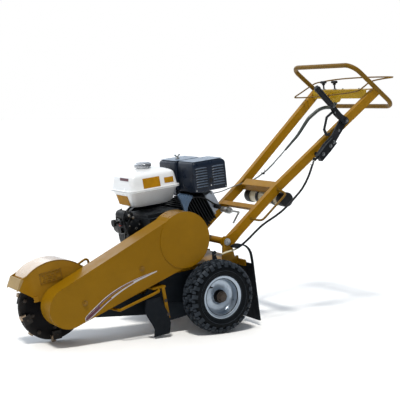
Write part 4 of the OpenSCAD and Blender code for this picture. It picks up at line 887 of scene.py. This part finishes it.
out = [(50, -335, -268), (40, -337, -267), (24, -341, -262), (0, -345.6, -251), (-16, -340, -243), (-34, -331.5, -237.5), (-52, -323, -236), (-68, -315, -232.4), (-84, -309.6, -235), (-98, -312.6, -238.8), (-112.6, -315.6, -243)]
rows = []
for w, a, b in out:
    k = (50 - w) / 163
    row = []
    for i in range(9):
        q = i / 8
        bow = 3.0 * math.sin(math.pi * q) * math.sin(math.pi * min(1, k)) + 1.2 * math.sin(9 * k)
        row.append((a + (b - a) * q, -216.6 + bow * 0.8 - 0.6 * math.sin(5 * q + 3 * k), w))
    rows.append(row)
sheet("leg_rubber", rows, 5.5, "leg_flap")
bm = bm_new()
for w in (-30, 30):
    add_bolt(bm, (-239 - 0.09 * w - 4, -219.4, w), (0, -1, 0), 9, 3.4, True)
make("leg_rubber_bolts", bm, BF, "iron", "frame", (), bevel=0.3, seg=1)


def rear(name, v1, v2, first, notch=False):
    prof = [(120, 186), (133, 190.4), (146, 192.8), (160, 190.4), (172, 185.4), (184, 175.6), (193, 163), (199, 147), (201.6, 130), (203.2, 112), (203.8, 98),
            (204.4, 70), (205.6, 30), (207.4, -10), (209, -50), (210.6, -92), (212, -130), (213.2, -161)]
    if first:
        prof = prof[first:]
    rws = []
    m = len(prof)
    for j, (u, w) in enumerate(prof):
        row = []
        for i in range(13):
            q = i / 12
            v = v1 + (v2 - v1) * q
            wav = 1.2 * math.sin(6 * q + 0.02 * w) * max(0, min(1, (80 - w) / 200))
            row.append((u + wav, v, w))
        rws.append(row)
    return rws


for s, nm in ((-1, "near"), (1, "far")):
    a, b = sorted((s * 178, s * 221.6))
    if s < 0:
        # narrower beside the brake cable
        rows = rear(nm, -221.6, -208, 0)[:11]
        sheet("rear_flap_near_a", rows, 6.4)
        rows = rear(nm, -207.9, -178, 0)[:4]
        sheet("rear_flap_near_b", rows, 6.4)
    else:
        sheet("rear_flap_far_a", rear(nm, a, b, 0)[:11], 6.4)
    a, b = sorted((s * 76.5, s * 221.6))
    sheet("rear_flap_%s_c" % nm, rear(nm, a, b, 10), 6.4, "rear_flaps" if s < 0 else None)
sheet("rear_flap_middle", [[(p[0], p[1], p[2] + (11.5 if p[2] < -150 else 0)) for p in r] for r in rear("m", -73, 73, 10)], 6.4)
bm = bm_new()
for v in (-205, -150, -95, -55, 0, 55, 95, 150, 205):
    add_bolt(bm, (207.6, v, 99), (1, 0, 0), 9, 3.6, True)
for s in (-1, 1):
    add_bolt(bm, (136, s * 187, 188), (0, s, 0), 9, 4, True)
make("flap_bolts", bm, BF, "iron", "frame", (), bevel=0.3, seg=1)

# ------------------------------------------------------------------ mast details
bm = bm_new()
n = 64
# canister: ribbed end caps and smooth body with a raised band
add_lathe(bm, 0, 0, [(0.01, 0), (29.6, 0)], 8)
bm.free()
CF = MF @ Matrix.Translation((0.349, 0, -0.078))
bm = bm_new()
add_lathe(bm, 0, 0, [(29.2, -141), (30, -139.6), (30, -112), (30, 79), (29.2, 81)], 64)
add_lathe(bm, 0, 0, [(30, -128), (30.8, -127), (30.8, -121), (30, -120)], 64)
make("canister_body", bm, CF, "cream", "mast", ["canister"], angle=50)
bm = bm_new()
for a, b, s in ((-185, -139, -1), (80, 125, 1)):
    prof = [(29, b if s < 0 else a), (33, b if s < 0 else a)]
    rows = []
    stations = [(a, 24, 0), (a + 1.2, 29, 0), (a + 4, 32, 0), (a + 6, 32.4, 1), (b - 4, 32.4, 1), (b - 1, 32.2, 0), (b, 30.2, 0)] if s < 0 else [(a, 30.2, 0), (a + 1, 32.2, 0), (a + 4, 32.4, 1), (b - 6, 32.4, 1), (b - 4, 32, 0), (b - 1.2, 29, 0), (b, 24, 0)]
    for y, r, kn in stations:
        rows.append([((r + kn * 0.6 * (1 if (k // 2) % 2 else -1)) * math.cos(2 * math.pi * k / 96), y, (r + kn * 0.6 * (1 if (k // 2) % 2 else -1)) * math.sin(2 * math.pi * k / 96)) for k in range(96)])
    add_loft(bm, rows)
make("canister_caps", bm, CF, "plastic", "mast", (), angle=40)
bm = bm_new()
for v in (-100, 20):
    # clamp band screw
    add_box(bm, (-6, v - 5, 31), (6, v + 5, 37))
    add_cyl(bm, (-12, v, 35), (1, 0, 0), 3.6, 8, 14)
make("canister_band_screws", bm, CF, "zinc", "mast", (), bevel=0.5)
bm = bm_new()
# weld beads at the joints of the mast
splay = math.atan((221 - 140) / 670)
for s in (-1, 1):
    for (d, n0, n1) in ((205.6, -6, 0.6), (341.4, -5, 0.4)):
        add_tube(bm, [(d, s * 127.4, n0), (d, s * 127.4, n1)], 1.6, 8, sub=2)
    add_tube(bm, [(206 + i * 4, s * 127.3, -6.8) for i in range(6)], 1.6, 8, sub=2)
    add_tube(bm, [(342 + i * 6, s * (127.3 - (i * 6 - 14) * 0.0), -6.2) for i in range(6)], 1.6, 8, sub=2)
    add_tube(bm, [(358 + 0.3 * (i % 2), s * 153.2, -38 + i * 4.1) for i in range(10)], 1.2, 8, sub=2)
    # plug discs in the tubes' feet
    add_box(bm, (-16, s * 140 - 11, -38), (-13.5, s * 140 + 11, -1))
make("mast_welds", bm, MF, "weld", "mast", ())
bm = bm_new()
# pivot hardware: nuts, washers and grease nipples; clamp nut
for s in (-1, 1):
    add_lathe(bm, 0, 0, [(10, s * 172.2), (16, s * 172.2), (16, s * 174.0), (10, s * 174.0)], 36, closed=True)
    add_cyl(bm, (0, s * 180.0, 0), (0, s, 0), 6, 3.6, 20)
    add_cyl(bm, (20, s * 172, -20), (0, s, 0), 3.0, 5, 12, 2)
make("pivot_hardware", bm, BF @ Matrix.Translation((0.111, 0, 0.208)), "zinc", "frame", (), bevel=0.3, seg=1)
bm = bm_new()
add_lathe(bm, 196, -28, [(6, 152.8), (13, 152.8), (13, 155), (6, 155)], 32, closed=True)
add_cyl(bm, (196, 69.3, -28), (0, -1, 0), 15.5, 2.2, 36)
add_lathe(bm, 196, -28, [(10.1, 126), (14, 126), (14, 123.4), (10.1, 123.4)], 32, closed=True)
make("clamp_washers", bm, MF, "zinc", "mast", (), bevel=0.3, seg=1)
bm = bm_new()
add_tube(bm, [(197, 61.2, -30), (201, 61, -36), (213, 60.5, -51), (222, 60.2, -62.6), (224.6, 60, -66), (221, 59.6, -68.4), (210, 58.8, -70.6), (190, 56, -74.8), (168, 53.2, -79.6)], 4.4, 16)
add_lathe(bm, 196, -28, [(6.1, 53.9), (10.4, 53.9), (11, 54.8), (11, 66.2), (10.4, 67), (6.1, 67)], 40, closed=True)
rows = []
for t, r in ((0, 4.4), (0.5, 5.0), (3, 5.2), (5, 4.4), (6, 2.4)):
    p = Vector((168, 53.2, -79.6))
    d = Vector((-22, -2.8, -4.8)).normalized()
    x, y, z = basis(d)
    rows.append([p + d * (t - 4) + r * (math.cos(2 * math.pi * k / 20) * x + math.sin(2 * math.pi * k / 20) * y) for k in range(20)])
add_loft(bm, rows)
make("clamp_crank_handle", bm, MF, "zinc", "clamp", ["clamp_handle"], angle=50)


# knobs on the panel
def knob(name, v, body, node):
    bmx = bm_new()
    add_cyl(bmx, (942, v, 752), (0, 0, 1), 3.95, 60, 24)
    add_lathe_z(bmx, 942, v, [(4, 806), (7.4, 807), (8, 809), (7.6, 813), (6.6, 818)], 28)
    rows = []
    for y, a, b in ((-21, 3.6, 3.6), (-20, 5.6, 5.2), (-15, 6.8, 6.4), (-6, 6.4, 6.0), (0, 6.8, 6.8), (6, 6.4, 6.0), (15, 6.8, 6.4), (20, 5.6, 5.2), (21, 3.6, 3.6)):
        rows.append([(942 + b * math.cos(2 * math.pi * k / 24), v + y, 821 + a * math.sin(2 * math.pi * k / 24)) for k in range(24)])
    add_loft(bmx, rows)
    make(name, bmx, BF, "plastic", body, [node], angle=45)


def add_lathe_z(bm, u, v, prof, n=32):
    rows = [[(u + r * math.cos(2 * math.pi * k / n), v + r * math.sin(2 * math.pi * k / n), w) for k in range(n)] for r, w in prof]
    add_loft(bm, rows)


knob("throttle_tee", 45, "throttle", "throttle_knob")
knob("choke_tee", 130, "choke", "choke_knob")
bm = bm_new()
for v in (45, 130):
    add_cyl(bm, (942, v, 784.2), (0, 0, 1), 9.5, 4.5, 6)
    # bore shadow is the stem itself; a thin locknut and washer
    add_cyl(bm, (942, v, 784.0), (0, 0, 1), 12, 0.9, 28)
for v in (-120, 0, 178):
    add_bolt(bm, (955, v, 784.1), (0, 0, 1), 7, 3, True)
make("panel_nuts", bm, BF, "zinc", "mast", (), bevel=0.3, seg=1)

# brake lever dressing: ribbed grip, pivot bolt and other bolts and pins
bm = bm_new()
LVR = Matrix.Translation((780.5, -231.5, 108)) @ Matrix.Rotation(-math.radians(7), 4, "Y")
rows = []
N = 40
for i in range(N + 1):
    z = -2 + 118 * i / N
    r = 13.4 + (0.8 if i % 2 else 0)
    if i < 2:
        r = 11.6 + i * 1.2
    if i > N - 5:
        r = 15.4 - max(0, i - N + 3) * 1.9
    rows.append([tuple(LVR @ Vector((r * math.cos(2 * math.pi * k / 24), r * math.sin(2 * math.pi * k / 24), z))) for k in range(24)])
add_loft(bm, rows)
make("lever_grip_sleeve", bm, MF, "plastic", "lever", (), angle=50)
bm = bm_new()
add_bolt(bm, (794, -243.2, 0), (0, -1, 0), 12, 4.5, True)
for (d, n0) in ((600, -27), (655, -27), (680, -27)):
    add_bolt(bm, (d, -239.9, n0), (0, -1, 0), 11, 4.5, True)
add_bolt(bm, (745, -222.2, -14), (0, -1, 0), 8, 3, True)
make("lever_bolts", bm, MF, "bolt", "mast", (), bevel=0.3, seg=1)
bm = bm_new()
add_bolt(bm, (770, -240.1, 72), (0, -1, 0), 6, 3, True)
add_bolt(bm, (781, -240.1, 98), (0, -1, 0), 7, 3, True)
make("lever_pins", bm, MF, "bolt", "lever", (), bevel=0.3, seg=1)
bm = bm_new()
# adjuster barrel and locknuts at the cable's upper end
add_cyl(bm, (548, -229, -20), (-1, 0, 0), 5.6, 3, 6)
add_cyl(bm, (545, -229, -20), (-1, 0, 0), 4.2, 16, 20)
add_cyl(bm, (529, -229, -20), (-1, 0, 0), 5.4, 6, 6)
make("cable_adjuster", bm, MF, "zinc", "mast", (), bevel=0.3, seg=1)

# ------------------------------------------------------------------ cables
BR = [(512, -226, 736), (508, -228, 723), (503, -230, 712), (492, -231.2, 686), (480, -232, 659), (464, -233.8, 632), (447, -235, 608), (430, -235.8, 589), (412, -236, 572),
      (393, -236, 555), (374, -236, 539), (354, -235.6, 522), (333, -235, 506), (310, -233, 491), (287, -230, 477), (261, -226.6, 462.6), (236, -222, 446), (215, -217, 428),
      (195, -211, 408), (178, -205, 390), (160, -199, 373), (144, -193, 359), (127, -187, 346), (108, -182, 339), (88, -180, 335), (70, -180, 331), (52, -180, 325)]
bm = bm_new()
add_tube(bm, BR[:23], lambda t: 4.9 if t < 0.94 else 4.9 - 1.2 * (t - 0.94) / 0.06, 14, sub=5)
make("brake_cable_sleeve", bm, WF, "plastic", None, ["brake_cable"], angle=60,
     blend=("mast", "frame", (AX + 0.20, -0.211, 0.41), (AX + 0.05, -0.180, 0.325)))
bm = bm_new()
add_tube(bm, BR[21:], 3.7, 14, sub=5)
make("brake_cable_pale_sheath", bm, WF, "cream", None, (), angle=60,
     blend=("mast", "frame", (AX + 0.20, -0.211, 0.41), (AX + 0.05, -0.180, 0.325)))
CC = [(847, 45, 1002), (848, 45, 986), (838, 46, 971), (816, 47, 962), (786, 48, 961), (750, 50, 950), (720, 52, 930), (690, 54, 906), (662, 58, 868), (634, 62, 829), (601, 67, 793), (568, 72, 758), (546, 76, 733), (524, 80, 711),
      (508, 83, 693), (492, 86, 678), (474, 90, 661), (457, 95, 648), (431, 100.4, 630.6), (404, 106, 617), (375, 112, 608), (346, 118, 601), (297, 128, 585), (240, 134, 567), (165, 132, 560), (96, 126, 566), (46, 124, 573)]
sleeve = material("green_black_sleeve", (0.022, 0.030, 0.026), 0.42, 0, 0.2, 18, 0.2, 300)
bm = bm_new()
add_tube(bm, CC[:12], lambda t: 8.6 - 3.6 * max(0, (t - 0.7) / 0.3), 14, sub=5)
make("control_cable_sleeve", bm, WF, sleeve, "mast", (), angle=60)
thin = material("grey_cable", (0.10, 0.11, 0.115), 0.45, 0, 0.15, 20, 0.2, 500)
FACE = ((AX + 0.34, 0.118, 0.60), (AX + 0.09, 0.126, 0.566))
bm = bm_new()
add_tube(bm, CC[9:], 2.3, 12, sub=5)
make("control_cable_a", bm, WF, thin, None, ["control_cables"], angle=60, blend=("mast", "frame") + FACE)
bm = bm_new()
k = 0
off = []
for i, p in enumerate(CC[9:]):
    q = i / (len(CC[9:]) - 1)
    off.append((p[0] + 2.0, p[1] + 4.4, p[2] + 3.2 * math.sin(math.pi * q * 1.4)))
add_tube(bm, off, 2.1, 12, sub=5)
make("control_cable_b", bm, WF, thin, None, (), angle=60, blend=("mast", "frame") + FACE)
bm = bm_new()
# cable tie with its tail
add_tube(bm, [(457 + 7 * math.cos(t), 97 + 7 * math.sin(t), 648 - 4 * math.cos(t)) for t in [2 * math.pi * k / 10 for k in range(10)]], 1.4, 6, closed=True, sub=2)
add_box(bm, (455, 88, 644), (462, 93, 651))
add_tube(bm, [(458, 91, 650), (461, 89, 658), (459, 86, 668)], 1.2, 6, sub=3)
make("cable_tie", bm, WF, "plastic", "mast", ())
bm = bm_new()
add_tube(bm, [(72, -180, 161), (63, -178, 163), (52, -176.6, 166), (44, -175.6, 167), (40, -175.2, 164)], 1.4, 8, sub=4)
make("brake_wire", bm, BF, "steel", "frame", ())

# ------------------------------------------------------------------ cutter wheel details
bm = bm_new()
for k in range(5):
    for s in (0, 1):
        a = math.radians(197 + 72 * k + 36 * s)
        vf = -34 + (8 if s else -8)
        # clamp bolts on both faces of each pocket
        for da, rr in ((0.0, 126), (0.0, 96)):
            p = Vector((CUT[0] + rr * math.cos(a + da), 0, CUT[1] + rr * math.sin(a + da)))
            if s == 0:
                face = -59.2 if rr == 126 else -42
                add_bolt(bm, (p.x, face, p.z), (0, -1, 0), 10, 2.6 if rr == 126 else 4, rr != 126)
            else:
                if rr == 126:
                    add_bolt(bm, (p.x, -48.2, p.z), (0, -1, 0), 15, 5, False, 3)
                    add_bolt(bm, (p.x, -8.8, p.z), (0, 1, 0), 13, 4, False)
                else:
                    add_bolt(bm, (p.x, -26, p.z), (0, 1, 0), 13, 5, True)
for k in range(6):
    t = 2 * math.pi * k / 6
    add_bolt(bm, (CUT[0] + 33 * math.cos(t), -52.1, CUT[1] + 33 * math.sin(t)), (0, -1, 0), 9, 4, False)
make("cutter_bolts", bm, BF, "iron", "cutter", (), bevel=0.4, seg=1)

# ------------------------------------------------------------------ chassis details
bm = bm_new()
# dark rubber sheet over the near side plate: painted shade, standing in for the deep shadow on the plate between the
# belt guard and the wheel
add_prism(bm, [(-287, 60), (-198, -16), (-60, -40), (58, -40), (116, 22), (122, 66), (34, 66), (28, 116), (-190, 118), (-287, 92)], -151.6, -150.3)
make("side_painted_shade_sheet", bm, BF, "rubber", "frame", (), bevel=0.3, seg=1)
bm = bm_new()
for s in (-1, 1):
    y = s * 150
    for (u, w) in ((-262, 82), (-258, 60), (100, 114)):
        add_bolt(bm, (u, y, w), (0, s, 0), 11, 5)
add_bolt(bm, (52, -179, 100), (0, -1, 0), 12, 3, False)
for (u, w) in ((-490, 84), (-300, 84), (-230, 70)):
    add_bolt(bm, (u, -94 if u > -480 else -100, w), (0, -1, 0), 11, 4.5)
for (u, w) in ((-470, 55.5), (-360, 50), (-250, 44)):
    add_bolt(bm, (u, -104.1, w), (0, -1, 0), 8, 3.2)
for (u, w) in ((-220, 12), (-100, -20), (20, -30)):
    add_bolt(bm, (u, -155.1, w + 2), (0, -1, 0), 8, 3.2)
make("chassis_bolts", bm, BF, "iron", "frame", (), bevel=0.3, seg=1)
bm = bm_new()
for s in (-1, 1):
    add_tube(bm, [(82 + i * 7, s * 161.6, 134.8) for i in range(9)], 1.8, 8, sub=2)
    add_tube(bm, [(-240 + i * 20, s * 141.6, 125.2) for i in range(16)], 1.6, 8, sub=2)
make("chassis_welds", bm, BF, "weld", "frame", ())

# ------------------------------------------------------------------ floor, light, camera
WORLD_LOW, WORLD_HIGH, WORLD_UP = 0.12, 1.0, 0.2
SUN, FILL = 2.7, 10
floor_mat = material("pale_floor", (0.90, 0.90, 0.90), 0.8, 0, 0.006, 2, 0.0)
me = bpy.data.meshes.new("floor")
bm = bm_new()
bmesh.ops.create_grid(bm, x_segments=1, y_segments=1, size=60)
bm.to_mesh(me)
bm.free()
floor = bpy.data.objects.new("floor", me)
bpy.context.scene.collection.objects.link(floor)
floor.location = (0, 0, -0.0015)
me.materials.append(floor_mat)

world = bpy.data.worlds.new("studio")
bpy.context.scene.world = world
world.use_nodes = True
wt = world.node_tree
bg = wt.nodes["Background"]
tint = wt.nodes.new("ShaderNodeMixRGB")
wt.links.new(wt.nodes.new("ShaderNodeLightPath").outputs["Is Camera Ray"], tint.inputs[0])
tint.inputs[1].default_value = (0.87, 0.945, 1.04, 1)
tint.inputs[2].default_value = (1.0, 1.0, 1.0, 1)
wt.links.new(tint.outputs[0], bg.inputs[0])
lp = wt.nodes.new("ShaderNodeLightPath")
tcw = wt.nodes.new("ShaderNodeTexCoord")
sep = wt.nodes.new("ShaderNodeSeparateXYZ")
wt.links.new(tcw.outputs["Generated"], sep.inputs[0])
# bright from above and behind, dim low down in front
mr = wt.nodes.new("ShaderNodeMapRange")
mr.inputs["From Min"].default_value = -0.6
mr.inputs["From Max"].default_value = 0.7
mr.inputs["To Min"].default_value = WORLD_LOW
mr.inputs["To Max"].default_value = WORLD_HIGH
wt.links.new(sep.outputs["Y"], mr.inputs["Value"])
up = wt.nodes.new("ShaderNodeMath")
up.operation = "MULTIPLY_ADD"
up.inputs[1].default_value = WORLD_UP
wt.links.new(sep.outputs["Z"], up.inputs[0])
wt.links.new(mr.outputs[0], up.inputs[2])
mixw = wt.nodes.new("ShaderNodeMixRGB")
wt.links.new(lp.outputs["Is Camera Ray"], mixw.inputs[0])
wt.links.new(up.outputs[0], mixw.inputs[1])
mixw.inputs[2].default_value = (1.0, 1.0, 1.0, 1)
wt.links.new(mixw.outputs[0], bg.inputs[1])


def light(name, loc, target, size, power, color=(1, 1, 1)):
    ld = bpy.data.lights.new(name, "AREA")
    ld.shape = "SQUARE"
    ld.size = size
    ld.energy = power
    ld.color = color
    lo = bpy.data.objects.new(name, ld)
    bpy.context.scene.collection.objects.link(lo)
    lo.location = loc
    lo.rotation_euler = (Vector(target) - Vector(loc)).to_track_quat("-Z", "Y").to_euler()


sun = bpy.data.lights.new("high_sun", "SUN")
sun.energy = SUN
sun.angle = math.radians(9)
sun.color = (1.0, 0.965, 0.90)
so = bpy.data.objects.new("high_sun", sun)
bpy.context.scene.collection.objects.link(so)
so.rotation_euler = Vector((0.28, 0.30, -1.0)).to_track_quat("-Z", "Y").to_euler()
light("fill", (-3.4, -3.6, 2.2), (0, 0, 0.4), 2.6, FILL, (0.95, 0.97, 1.0))

# bright patch of sky behind, seen only in glossy paint
ld = bpy.data.lights.new("sky_patch", "AREA")
ld.shape = "RECTANGLE"
ld.size = 3.6
ld.size_y = 2.4
ld.energy = 40
ld.color = (0.93, 0.97, 1.0)
lo = bpy.data.objects.new("sky_patch", ld)
bpy.context.scene.collection.objects.link(lo)
lo.location = (-0.5, 4.5, 2.8)
lo.rotation_euler = (Vector((-0.80, 0, 0.25)) - Vector((-0.5, 4.5, 2.8))).to_track_quat("-Z", "Y").to_euler()
lo.visible_diffuse = False

cam = bpy.data.cameras.new("camera")
cam.sensor_width = 36
cam.lens = 1018.96 / 400 * 36
cam.clip_start = 0.05
co = bpy.data.objects.new("camera", cam)
bpy.context.scene.collection.objects.link(co)
R = Vector((0.8553088931183422, -0.5181031070819544, 0.003983438803482499))
U = Vector((0.04369008545427751, 0.07978227322579841, 0.9958543896132215))
Fd = Vector((0.5162730612628108, 0.8515890789054008, -0.09087445682576008))
mw = Matrix.Identity(4)
for i in range(3):
    mw[i][0], mw[i][1], mw[i][2] = R[i], U[i], -Fd[i]
    mw[i][3] = (-2.301 + AX, -3.878, 0.961)[i]
co.matrix_world = mw
bpy.context.scene.camera = co
bpy.context.scene.view_settings.view_transform = "Standard"
